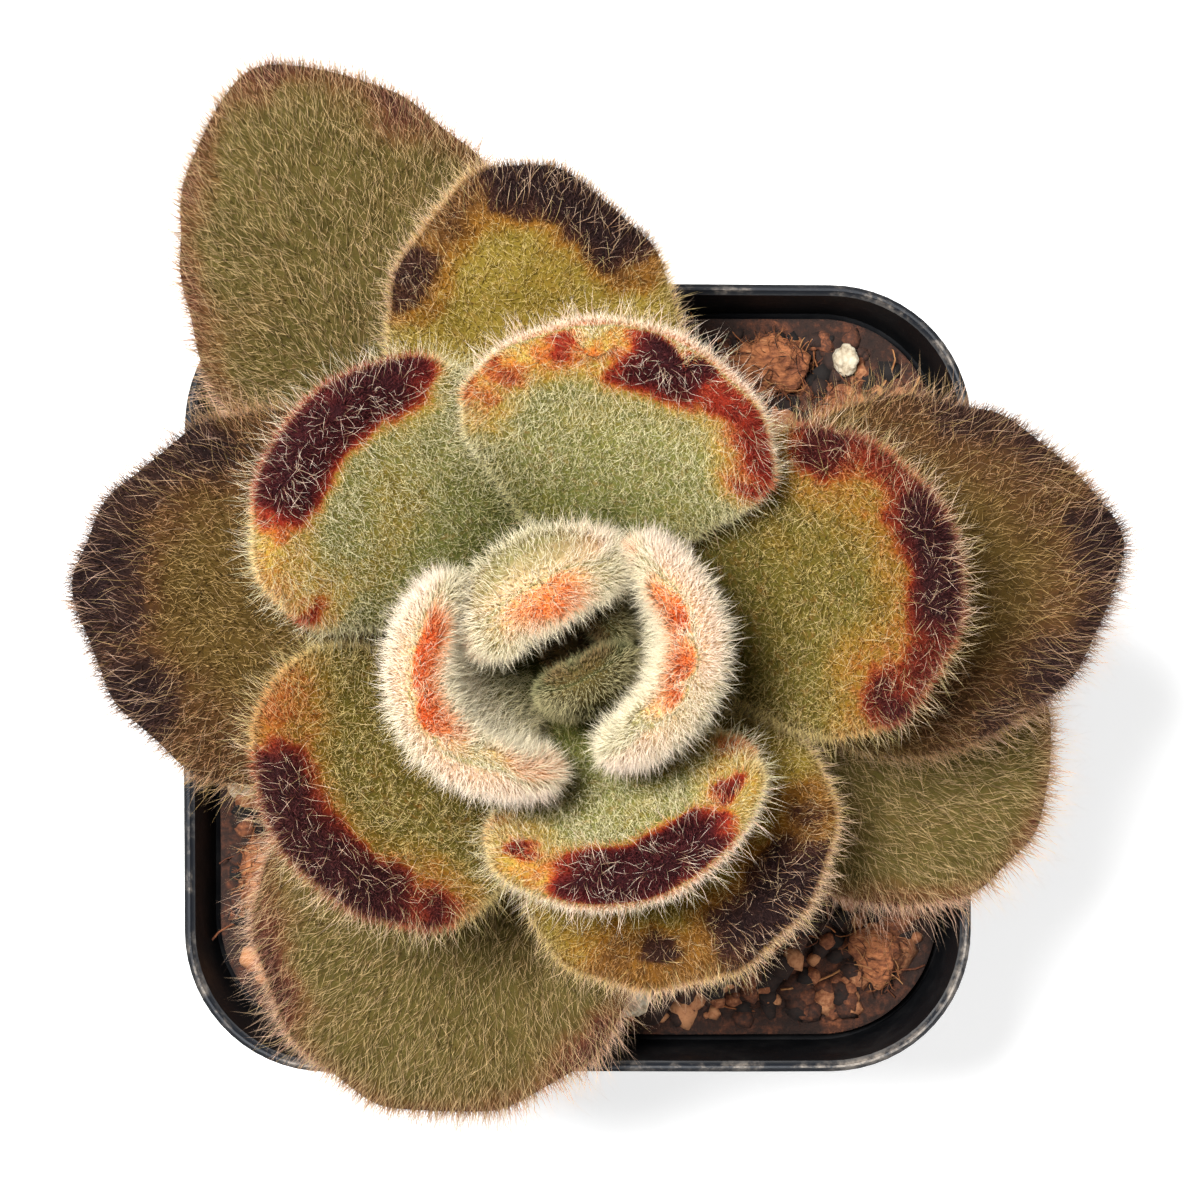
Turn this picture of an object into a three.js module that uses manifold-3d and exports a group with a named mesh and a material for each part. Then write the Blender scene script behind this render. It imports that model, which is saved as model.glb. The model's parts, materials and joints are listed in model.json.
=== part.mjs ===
// A young felt-leaved succulent in a square nursery pot.
// Millimetres and degrees, +Z up, the origin in the middle of the pot's underside.
import * as THREE from "three";
import { mergeVertices } from "three/addons/utils/BufferGeometryUtils.js";
import Module from "manifold-3d";

const wasm = await Module();
wasm.setup();

// ---------- Driving sizes ----------

const CLEARANCE = 0.3; // left between pieces that rest on one another

// Pot: a tapered square shell with rounded corners and a collar round its rim.
const POT_TOP_WIDTH = 70;
const POT_BASE_WIDTH = 52;
const POT_HEIGHT = 62;
const POT_TOP_CORNER = 12;
const POT_BASE_CORNER = 9;
const POT_WALL = 0.9;
const POT_FLOOR = 1.4;
const COLLAR_HEIGHT = 9;
const COLLAR_STEP = 0.5;
const FOOT_CHAMFER = 0.8; // along the edge of the underside
const DRAIN_DIAMETER = 6;
const DRAIN_INSET = 12; // from the base's edge to a drain's middle

// Soil: its top lies below the rim and rises a little towards the stem.
const SOIL_BELOW_RIM = 6;
const SOIL_MOUND = 1.4;
const SOIL_RIPPLE = 0.5;

// Stem: one short shoot, a little off the pot's middle.
const STEM_X = -0.5;
const STEM_Y = 3.5;
const STEM_SOIL_RADIUS = 3.8;
const STEM_TOP_RADIUS = 2;
const STEM_DEPTH = 18; // how far it reaches into the soil
const FIRST_SEAT = 5; // the lowest leaf's seat above the soil

// Leaves: what all of them share.
const NECK_WIDTH = 7;
const NECK_THICKNESS = 2.6;
const INTERNODE = 0.52 * (NECK_THICKNESS + 2 * CLEARANCE); // height from one leaf to the next
const NECK_SPREAD = 0.34; // share of the length over which a neck thickens
const TIP_ROUNDING = 0.8; // how far back the tip's edge is rounded, in thicknesses
const EDGE_FULLNESS = 0.8; // under 1 gives fleshier side edges
const LEAST_CURL = 1e-3; // radians, so that a flat neck still has a bend to follow
const RINGS = 13; // cross-sections along a leaf
const RING_POINTS = 12;
const RING_STEPS = 8; // short steps along the middle line between two rings
const RING_CROWDING = 1.15; // over 1 draws the rings towards the tip
const TIP_RING = 0.03; // size of the last ring, as a share of the widest

// One row for each leaf, from the oldest to the youngest, which is their order up the stem.
// azimuth: the way it grows, turned from +X.   length, width, thick: its own sizes.
// rise, lift: its slope at the stem and at the tip.   arch: under 1 turns early, over 1 late.
// sway: how far its middle line turns aside.   roll: its twist at the tip.
// cup: half of the angle that it curls through across.   widest: where, as a share of the length.
// blunt: 2 gives a round tip and more a squarer one.   point: 0.5 is round and more is pointed.
const LEAVES = [
  { name: "lower_leaf_1", azimuth: 340, length: 40, width: 27, thick: 4.4, rise: 16, lift: 2,
    arch: 0.8, sway: 2, roll: 0, cup: 14, widest: 0.58, blunt: 2.6, point: 0.5 },
  { name: "lower_leaf_2", azimuth: 123, length: 53, width: 31, thick: 4.4, rise: 15, lift: 0,
    arch: 0.8, sway: -8, roll: 0, cup: 14, widest: 0.54, blunt: 1.8, point: 0.56 },
  { name: "lower_leaf_3", azimuth: 246, length: 40, width: 34, thick: 4.6, rise: 12, lift: -2,
    arch: 1, sway: 3, roll: 0, cup: 14, widest: 0.58, blunt: 2, point: 0.55 },
  { name: "outer_leaf_1", azimuth: 11, length: 45, width: 31, thick: 4.8, rise: 20, lift: 12,
    arch: 1, sway: -2, roll: 0, cup: 22, widest: 0.58, blunt: 2, point: 0.62 },
  { name: "outer_leaf_2", azimuth: 172, length: 40, width: 33, thick: 4.8, rise: 20, lift: 14,
    arch: 1, sway: 0, roll: 0, cup: 22, widest: 0.56, blunt: 2, point: 0.62 },
  { name: "outer_leaf_3", azimuth: 297, length: 31, width: 28, thick: 4.8, rise: 28, lift: 38,
    arch: 1, sway: 2, roll: 0, cup: 26, widest: 0.6, blunt: 2.3, point: 0.5 },
  { name: "outer_leaf_4", azimuth: 97, length: 39, width: 25, thick: 4.8, rise: 22, lift: 24,
    arch: 1, sway: 0, roll: 0, cup: 24, widest: 0.6, blunt: 2, point: 0.6 },
  { name: "middle_leaf_1", azimuth: 218, length: 34, width: 26, thick: 4.8, rise: 28, lift: 62,
    arch: 1, sway: 0, roll: 0, cup: 32, widest: 0.64, blunt: 2.6, point: 0.5 },
  { name: "middle_leaf_2", azimuth: 13, length: 37, width: 26, thick: 4.8, rise: 24, lift: 58,
    arch: 1, sway: 0, roll: 0, cup: 32, widest: 0.62, blunt: 2.3, point: 0.5 },
  { name: "middle_leaf_3", azimuth: 142, length: 35, width: 25, thick: 4.8, rise: 26, lift: 66,
    arch: 1, sway: 0, roll: 0, cup: 32, widest: 0.64, blunt: 2.6, point: 0.5 },
  { name: "middle_leaf_4", azimuth: 288, length: 29, width: 24, thick: 4.8, rise: 32, lift: 76,
    arch: 1, sway: 0, roll: 0, cup: 38, widest: 0.66, blunt: 2.8, point: 0.5 },
  { name: "middle_leaf_5", azimuth: 77, length: 32, width: 26, thick: 4.8, rise: 28, lift: 66,
    arch: 1, sway: 0, roll: 0, cup: 34, widest: 0.64, blunt: 2.8, point: 0.5 },
  { name: "inner_leaf_1", azimuth: 208, length: 27, width: 23, thick: 4.2, rise: 36, lift: 96,
    arch: 0.8, sway: 0, roll: 0, cup: 74, widest: 0.64, blunt: 2.8, point: 0.5 },
  { name: "inner_leaf_2", azimuth: 352, length: 25, width: 22, thick: 4.2, rise: 42, lift: 102,
    arch: 0.8, sway: 0, roll: 0, cup: 76, widest: 0.64, blunt: 2.8, point: 0.5 },
  { name: "inner_leaf_3", azimuth: 118, length: 22, width: 16, thick: 4.2, rise: 52, lift: 136,
    arch: 1.1, sway: 0, roll: 0, cup: 60, widest: 0.6, blunt: 2.6, point: 0.5 },
  { name: "bud_leaf_1", azimuth: 296, length: 13, width: 9, thick: 2.8, rise: 62, lift: 128,
    arch: 0.9, sway: 0, roll: 0, cup: 50, widest: 0.6, blunt: 2.4, point: 0.5 },
  { name: "bud_leaf_2", azimuth: 48, length: 9, width: 7, thick: 2.6, rise: 68, lift: 124,
    arch: 0.9, sway: 0, roll: 0, cup: 50, widest: 0.6, blunt: 2.4, point: 0.5 },
];

// Loose lumps on the soil: where each lies, as shares of the way from the pot's middle to the
// soil's edge, its half sizes and its turn about Z.
const LUMPS = [
  { name: "bark_lump_1", across: 0.5, deep: 0.86, half: [4.2, 2.4, 1.7], turn: 8 },
  { name: "bark_lump_2", across: 0.72, deep: 0.74, half: [2.5, 2.0, 1.5], turn: 60 },
  { name: "bark_lump_3", across: 0.84, deep: -0.5, half: [3.6, 2.6, 2.1], turn: 160 },
  { name: "bark_lump_4", across: 0.82, deep: -0.76, half: [2.6, 2.0, 1.7], turn: 100 },
  { name: "bark_lump_5", across: -0.86, deep: -0.54, half: [3.4, 2.2, 1.6], turn: 75 },
  { name: "bark_lump_6", across: -0.7, deep: -0.76, half: [2.6, 2.0, 1.4], turn: 20 },
  { name: "perlite_grain_1", across: 0.14, deep: -0.9, half: [1.9, 1.4, 1.2], turn: 30 },
  { name: "perlite_grain_2", across: 0.74, deep: 0.88, half: [1.4, 1.1, 0.9], turn: 80 },
  { name: "perlite_grain_3", across: -0.93, deep: -0.3, half: [1.3, 1.1, 0.9], turn: 10 },
];

// ---------- Materials ----------

const POT_PLASTIC = new THREE.MeshStandardMaterial({ color: 0x191b20, roughness: 0.42 });
const PEAT = new THREE.MeshStandardMaterial({ color: 0x3a2219, roughness: 0.98 });
const BARK = new THREE.MeshStandardMaterial({ color: 0x8a5636, roughness: 0.95 });
const PERLITE = new THREE.MeshStandardMaterial({ color: 0xc8bcab, roughness: 0.9 });
const STEM_FELT = new THREE.MeshStandardMaterial({ color: 0x8c8660, roughness: 0.9 });
const LEAF_COLOURS = {
  lower: 0x7c7448,
  outer: 0x86763f,
  middle: 0x9aa06c,
  inner: 0xcfc8a4,
  bud: 0x8f9668,
};

// ---------- Helpers ----------

const radians = THREE.MathUtils.degToRad;
const smooth = (value) => THREE.MathUtils.smoothstep(value, 0, 1);

// Joins rings of equal point counts, each running anticlockwise about the way ahead, into a solid.
function loft(rings) {
  const count = rings[0].length;
  const points = rings.flat();
  const faces = [];
  for (let ring = 0; ring < rings.length - 1; ring += 1) {
    for (let i = 0; i < count; i += 1) {
      const here = ring * count + i;
      const beside = ring * count + ((i + 1) % count);
      faces.push(here, beside, beside + count, here, beside + count, here + count);
    }
  }
  const closeEnd = (ring, first, second) => {
    const middle = new THREE.Vector3();
    rings[ring].forEach((point) => middle.addScaledVector(point, 1 / count));
    points.push(middle);
    for (let i = 0; i < count; i += 1) {
      const ends = [ring * count + i, ring * count + ((i + 1) % count)];
      faces.push(points.length - 1, ends[first], ends[second]);
    }
  };
  closeEnd(0, 1, 0);
  closeEnd(rings.length - 1, 0, 1);
  const geometry = new THREE.BufferGeometry().setFromPoints(points);
  geometry.setIndex(faces);
  return geometry;
}

// Turns a closed geometry into a solid that can be cut.
function toSolid(geometry) {
  const bare = geometry.clone();
  bare.deleteAttribute("normal");
  bare.deleteAttribute("uv");
  const merged = mergeVertices(bare, 1e-4);
  const vertProperties = new Float32Array(merged.attributes.position.array);
  const triVerts = new Uint32Array(merged.index.array);
  return new wasm.Manifold(new wasm.Mesh({ numProp: 3, vertProperties, triVerts }));
}

// Turns a cut solid back into a geometry.
function toGeometry(solid) {
  const mesh = solid.getMesh();
  const geometry = new THREE.BufferGeometry();
  geometry.setAttribute("position", new THREE.BufferAttribute(mesh.vertProperties, 3));
  geometry.setIndex(new THREE.BufferAttribute(mesh.triVerts, 1));
  return geometry;
}

// A level square with rounded corners.
function roundedSquare(width, corner, height) {
  const cornerSteps = 5;
  const reach = width / 2 - corner;
  const points = [];
  for (let quarter = 0; quarter < 4; quarter += 1) {
    const diagonal = radians(45 + 90 * quarter);
    const centreX = Math.sign(Math.cos(diagonal)) * reach;
    const centreY = Math.sign(Math.sin(diagonal)) * reach;
    for (let step = 0; step <= cornerSteps; step += 1) {
      const angle = radians(90 * quarter + (90 * step) / cornerSteps);
      points.push(
        new THREE.Vector3(
          centreX + corner * Math.cos(angle),
          centreY + corner * Math.sin(angle),
          height,
        ),
      );
    }
  }
  return points;
}

// ---------- Pot ----------

// The wall's outer width and corner at a height, without the collar.
function wallWidth(height) {
  const top = POT_TOP_WIDTH - 2 * COLLAR_STEP;
  return THREE.MathUtils.lerp(POT_BASE_WIDTH, top, height / POT_HEIGHT);
}

function wallCorner(height) {
  return THREE.MathUtils.lerp(POT_BASE_CORNER, POT_TOP_CORNER, height / POT_HEIGHT);
}

// A ring that lies a given way inside the wall's outer face.
function wallRing(height, inset) {
  const width = wallWidth(height) - 2 * inset;
  return roundedSquare(width, wallCorner(height) - inset, height);
}

function potGeometry() {
  const collarFoot = POT_HEIGHT - COLLAR_HEIGHT;
  const shell = loft([
    roundedSquare(POT_BASE_WIDTH - 2 * FOOT_CHAMFER, POT_BASE_CORNER - FOOT_CHAMFER, 0),
    wallRing(FOOT_CHAMFER, 0),
    wallRing(collarFoot, 0),
    wallRing(collarFoot + COLLAR_STEP, -COLLAR_STEP),
    wallRing(POT_HEIGHT, -COLLAR_STEP),
    wallRing(POT_HEIGHT, POT_WALL - COLLAR_STEP),
    wallRing(collarFoot, POT_WALL),
    wallRing(POT_FLOOR, POT_WALL),
  ]);
  let pot = toSolid(shell);
  const drain = new THREE.CylinderGeometry(
    DRAIN_DIAMETER / 2,
    DRAIN_DIAMETER / 2,
    3 * POT_FLOOR,
    16,
  ).rotateX(Math.PI / 2);
  const offset = POT_BASE_WIDTH / 2 - DRAIN_INSET;
  for (const x of [-offset, offset]) {
    for (const y of [-offset, offset]) {
      pot = pot.subtract(toSolid(drain.clone().translate(x, y, POT_FLOOR / 2)));
    }
  }
  return toGeometry(pot);
}

// ---------- Soil ----------

const SOIL_LEVEL = POT_HEIGHT - SOIL_BELOW_RIM;

// The height of the soil's top: a low mound round the stem with soft ripples.
function soilHeight(x, y) {
  const away = Math.hypot(x - STEM_X, y - STEM_Y) / (POT_TOP_WIDTH / 2);
  const mound = SOIL_MOUND * Math.exp(-2.5 * away * away);
  const ripple = Math.sin(0.31 * x + 1.1) * Math.cos(0.27 * y - 0.4) + 0.5 * Math.sin(0.52 * (x - y));
  return SOIL_LEVEL + mound + (SOIL_RIPPLE * ripple) / 1.5;
}

function soilGeometry() {
  const inset = POT_WALL + CLEARANCE;
  const rings = [wallRing(POT_FLOOR + CLEARANCE, inset)];
  const edge = wallRing(SOIL_LEVEL - 1, inset);
  rings.push(edge);
  for (const share of [0.985, 0.85, 0.7, 0.54, 0.38, 0.22]) {
    rings.push(
      edge.map((point) => {
        const x = THREE.MathUtils.lerp(STEM_X, point.x, share);
        const y = THREE.MathUtils.lerp(STEM_Y, point.y, share);
        return new THREE.Vector3(x, y, soilHeight(x, y));
      }),
    );
  }
  const radius = STEM_SOIL_RADIUS + CLEARANCE;
  const floor = SOIL_LEVEL - STEM_DEPTH - CLEARANCE;
  const socket = new THREE.CylinderGeometry(radius, radius, 2 * STEM_DEPTH, 16)
    .rotateX(Math.PI / 2)
    .translate(STEM_X, STEM_Y, floor + STEM_DEPTH);
  return toGeometry(toSolid(loft(rings)).subtract(toSolid(socket)));
}

// ---------- Stem ----------

const SEAT_BOTTOM = SOIL_LEVEL + FIRST_SEAT;
const STEM_TOP = SEAT_BOTTOM + (LEAVES.length - 1) * INTERNODE + NECK_THICKNESS / 2;

// The stem's radius at a height: full in the soil, then narrowing to its top.
function stemRadius(height) {
  const share = (height - SOIL_LEVEL) / (STEM_TOP - SOIL_LEVEL);
  return THREE.MathUtils.lerp(STEM_SOIL_RADIUS, STEM_TOP_RADIUS, THREE.MathUtils.clamp(share, 0, 1));
}

function stemGeometry() {
  const foot = SOIL_LEVEL - STEM_DEPTH;
  const profile = [
    new THREE.Vector2(0, foot),
    new THREE.Vector2(STEM_SOIL_RADIUS, foot),
    new THREE.Vector2(STEM_SOIL_RADIUS, SOIL_LEVEL),
    new THREE.Vector2(STEM_TOP_RADIUS, STEM_TOP - STEM_TOP_RADIUS / 2),
    new THREE.Vector2(STEM_TOP_RADIUS / 2, STEM_TOP),
    new THREE.Vector2(0, STEM_TOP),
  ];
  return new THREE.LatheGeometry(profile, 14).rotateX(Math.PI / 2).translate(STEM_X, STEM_Y, 0);
}

// ---------- Leaves ----------

// Half of a leaf's width at a share of its length.
function halfWidth(leaf, along) {
  const full = leaf.width / 2;
  if (along < leaf.widest) {
    return THREE.MathUtils.lerp(NECK_WIDTH / 2, full, smooth(along / leaf.widest));
  }
  const past = (along - leaf.widest) / (1 - leaf.widest);
  return full * Math.max(1 - past ** leaf.blunt, 0) ** leaf.point;
}

// Half of a leaf's thickness at a share of its length: the neck swells, and the tip is rounded off.
function halfThickness(leaf, along) {
  const swell = smooth(along / NECK_SPREAD);
  const body = THREE.MathUtils.lerp(NECK_THICKNESS, leaf.thick, swell) / 2;
  const roundFrom = 1 - (TIP_ROUNDING * leaf.thick) / leaf.length;
  const past = Math.max((along - roundFrom) / (1 - roundFrom), 0);
  return body * Math.sqrt(Math.max(1 - past * past, 0));
}

// A leaf's slope above the level, and its heading, at a share of its length.
function slope(leaf, along) {
  return radians(THREE.MathUtils.lerp(leaf.rise, leaf.lift, along ** leaf.arch));
}

function heading(leaf, along) {
  return radians(leaf.azimuth + leaf.sway * along);
}

function wayAhead(leaf, along) {
  const pitch = slope(leaf, along);
  const turn = heading(leaf, along);
  const level = Math.cos(pitch);
  return new THREE.Vector3(level * Math.cos(turn), level * Math.sin(turn), Math.sin(pitch));
}

// A whole leaf. A positive grow swells it all round, which gives the space that it keeps clear.
function leafGeometry(leaf, order, grow = 0) {
  const seatHeight = SEAT_BOTTOM + order * INTERNODE;
  const tuck = (NECK_THICKNESS / 2) * Math.sin(radians(leaf.rise));
  const seatRadius = stemRadius(seatHeight) + CLEARANCE + tuck;
  const azimuth = radians(leaf.azimuth);
  const point = new THREE.Vector3(
    STEM_X + seatRadius * Math.cos(azimuth),
    STEM_Y + seatRadius * Math.sin(azimuth),
    seatHeight,
  );
  const rings = [];
  let last = 0;
  for (let ring = 0; ring < RINGS; ring += 1) {
    const along = Math.sin(((ring / (RINGS - 1)) * Math.PI) / 2) ** RING_CROWDING;
    for (let step = 0; step < RING_STEPS; step += 1) {
      const at = THREE.MathUtils.lerp(last, along, (step + 0.5) / RING_STEPS);
      point.addScaledVector(wayAhead(leaf, at), ((along - last) * leaf.length) / RING_STEPS);
    }
    last = along;
    rings.push(leafRing(leaf, along, point, grow));
  }
  return loft(rings);
}

// One cross-section of a leaf: a lens bent into a shallow arc whose hollow faces up.
function leafRing(leaf, along, point, grow) {
  const turn = heading(leaf, along);
  const ahead = wayAhead(leaf, along);
  const across = new THREE.Vector3(-Math.sin(turn), Math.cos(turn), 0);
  across.applyAxisAngle(ahead, radians(leaf.roll) * along);
  const up = new THREE.Vector3().crossVectors(ahead, across);
  const half = Math.max(halfWidth(leaf, along), (TIP_RING * leaf.width) / 2) + grow;
  const thick = Math.max(halfThickness(leaf, along), (TIP_RING * leaf.width) / 2) + grow;
  const curl = radians(leaf.cup) * smooth(along / leaf.widest) + LEAST_CURL;
  const bend = Math.sqrt((leaf.width / 2) * half) / curl;
  const middle = point.clone().addScaledVector(ahead, grow * (2 * along - 1));
  const ring = [];
  for (let i = 0; i < RING_POINTS; i += 1) {
    const angle = (i / RING_POINTS) * 2 * Math.PI;
    const lean = (half * Math.cos(angle)) / bend;
    const level = Math.sin(angle);
    const proud = thick * Math.sign(level) * Math.abs(level) ** EDGE_FULLNESS;
    const sideways = (bend - proud) * Math.sin(lean);
    const upwards = bend - (bend - proud) * Math.cos(lean);
    ring.push(middle.clone().addScaledVector(across, sideways).addScaledVector(up, upwards));
  }
  return ring;
}

// All leaves, from the oldest up. Where two would press together, the younger one gives way.
function leafSolids() {
  const placed = [];
  return LEAVES.map((leaf, order) => {
    let solid = toSolid(leafGeometry(leaf, order));
    for (const older of placed) {
      solid = solid.subtract(older);
    }
    placed.push(toSolid(leafGeometry(leaf, order, CLEARANCE)));
    return solid.decompose().sort((one, other) => other.volume() - one.volume())[0];
  });
}

// ---------- Loose lumps ----------

// A rough pebble with a flattened underside.
function lumpGeometry(lump) {
  const geometry = mergeVertices(bareGeometry(new THREE.IcosahedronGeometry(1, 1)), 1e-4);
  const position = geometry.attributes.position;
  for (let i = 0; i < position.count; i += 1) {
    const rough = 1 + 0.16 * Math.sin(7.3 * i + 9 * lump.across) * Math.cos(4.1 * i + lump.deep);
    position.setXYZ(
      i,
      position.getX(i) * lump.half[0] * rough,
      position.getY(i) * lump.half[1] * rough,
      Math.max(position.getZ(i), -0.55) * lump.half[2] * rough,
    );
  }
  const reach = wallWidth(SOIL_LEVEL) / 2 - POT_WALL - CLEARANCE;
  return geometry.rotateZ(radians(lump.turn)).translate(lump.across * reach, lump.deep * reach, 0);
}

function bareGeometry(geometry) {
  geometry.deleteAttribute("normal");
  geometry.deleteAttribute("uv");
  return geometry;
}

// Lowers a lump onto the soil, leaving the clearance under its lowest contact.
function restOnSoil(geometry, soil) {
  const down = new THREE.Raycaster();
  const position = geometry.attributes.position;
  let rise = -Infinity;
  for (let i = 0; i < position.count; i += 1) {
    const above = new THREE.Vector3(position.getX(i), position.getY(i), 2 * POT_HEIGHT);
    down.set(above, new THREE.Vector3(0, 0, -1));
    const hit = down.intersectObject(soil)[0];
    rise = Math.max(rise, hit.point.z - position.getZ(i));
  }
  return geometry.translate(0, 0, rise + CLEARANCE);
}

// ---------- The whole plant ----------

const group = new THREE.Group();

function addPiece(name, geometry, material) {
  const flat = mergeVertices(bareGeometry(geometry.clone()), 1e-4);
  flat.computeVertexNormals();
  const mesh = new THREE.Mesh(flat, material);
  mesh.name = name;
  group.add(mesh);
  return mesh;
}

addPiece("pot", potGeometry(), POT_PLASTIC);
const soil = addPiece("soil", soilGeometry(), PEAT);
addPiece("stem", stemGeometry(), STEM_FELT);
leafSolids().forEach((solid, order) => {
  const name = LEAVES[order].name;
  const colour = LEAF_COLOURS[name.split("_")[0]];
  const felt = new THREE.MeshStandardMaterial({ color: colour, roughness: 0.92 });
  addPiece(name, toGeometry(solid), felt);
});
for (const lump of LUMPS) {
  const grain = lump.name.startsWith("perlite") ? PERLITE : BARK;
  addPiece(lump.name, restOnSoil(lumpGeometry(lump), soil), grain);
}

export default group;
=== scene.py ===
"""A felt-leaved succulent in a square nursery pot, finished for rendering.

Everything is in metres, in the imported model's frame: +Z up, the origin in the middle of the pot's
underside. Each sub-assembly is a class that builds its own meshes and dresses them.
"""

import json
import logging
import math
from dataclasses import dataclass, field
from enum import Enum
from typing import Any, Iterable, Sequence

import bpy
import numpy as np
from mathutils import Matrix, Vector, noise

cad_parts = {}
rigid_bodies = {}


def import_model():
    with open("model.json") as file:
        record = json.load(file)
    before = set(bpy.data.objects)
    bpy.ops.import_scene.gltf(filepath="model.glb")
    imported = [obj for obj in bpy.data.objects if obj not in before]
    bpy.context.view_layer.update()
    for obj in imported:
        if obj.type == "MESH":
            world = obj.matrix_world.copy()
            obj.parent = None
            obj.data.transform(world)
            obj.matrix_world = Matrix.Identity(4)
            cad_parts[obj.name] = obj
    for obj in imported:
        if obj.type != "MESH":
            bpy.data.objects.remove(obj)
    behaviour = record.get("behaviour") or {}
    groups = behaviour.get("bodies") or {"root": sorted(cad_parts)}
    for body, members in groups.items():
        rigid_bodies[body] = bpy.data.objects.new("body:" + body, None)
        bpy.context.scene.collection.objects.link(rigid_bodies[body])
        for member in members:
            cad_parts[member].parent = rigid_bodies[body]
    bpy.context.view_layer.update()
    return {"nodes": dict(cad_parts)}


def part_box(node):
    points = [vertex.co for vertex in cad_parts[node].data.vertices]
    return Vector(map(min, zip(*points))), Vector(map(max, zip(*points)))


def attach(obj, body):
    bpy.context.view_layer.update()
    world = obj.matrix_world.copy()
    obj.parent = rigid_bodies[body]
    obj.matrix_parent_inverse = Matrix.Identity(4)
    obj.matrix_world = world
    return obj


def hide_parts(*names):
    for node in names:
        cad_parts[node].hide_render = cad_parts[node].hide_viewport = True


LOG = logging.getLogger("potted_succulent")
MM = 0.001
BODY = "root"

Colour = tuple[float, float, float]


# ---------------------------------------------------------------- colours


def srgb(red: float, green: float, blue: float) -> Colour:
    """Turns a display colour of 0 to 255 into linear light.

    Args:
        red, green, blue: the display values.

    Returns:
        The three linear values.
    """

    def linear(value: float) -> float:
        """One channel of the display curve undone."""
        share = value / 255
        return share / 12.92 if share <= 0.04045 else ((share + 0.055) / 1.055) ** 2.4

    return linear(red), linear(green), linear(blue)


@dataclass(frozen=True)
class Ramp:
    """Colours along a scale of 0 to 1.

    stops: pairs of a place on the scale and a linear colour.
    """

    stops: tuple[tuple[float, Colour], ...]


def ramp(*stops: tuple[float, tuple[float, float, float]]) -> Ramp:
    """A ramp from display colours.

    Args:
        stops: pairs of a place and a display colour of 0 to 255.

    Returns:
        The ramp in linear light.
    """
    return Ramp(tuple((place, srgb(*colour)) for place, colour in stops))


# ---------------------------------------------------------------- node graphs


@dataclass(frozen=True)
class Term:
    """A node's output that can be used in an expression, which adds its Math nodes."""

    graph: "Graph"
    socket: bpy.types.NodeSocket

    def __add__(self, other: "Term | float") -> "Term":
        """This plus other."""
        return self.graph.math("ADD", self, other)

    def __radd__(self, other: float) -> "Term":
        """Other plus this."""
        return self.graph.math("ADD", other, self)

    def __sub__(self, other: "Term | float") -> "Term":
        """This less other."""
        return self.graph.math("SUBTRACT", self, other)

    def __rsub__(self, other: float) -> "Term":
        """Other less this."""
        return self.graph.math("SUBTRACT", other, self)

    def __mul__(self, other: "Term | float") -> "Term":
        """This times other."""
        return self.graph.math("MULTIPLY", self, other)

    def __rmul__(self, other: float) -> "Term":
        """Other times this."""
        return self.graph.math("MULTIPLY", other, self)

    def __truediv__(self, other: "Term | float") -> "Term":
        """This over other."""
        return self.graph.math("DIVIDE", self, other)

    def __pow__(self, other: "Term | float") -> "Term":
        """This to the power of other."""
        return self.graph.math("POWER", self, other)


Value = Term | float | int | str | Sequence[float] | Any


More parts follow.
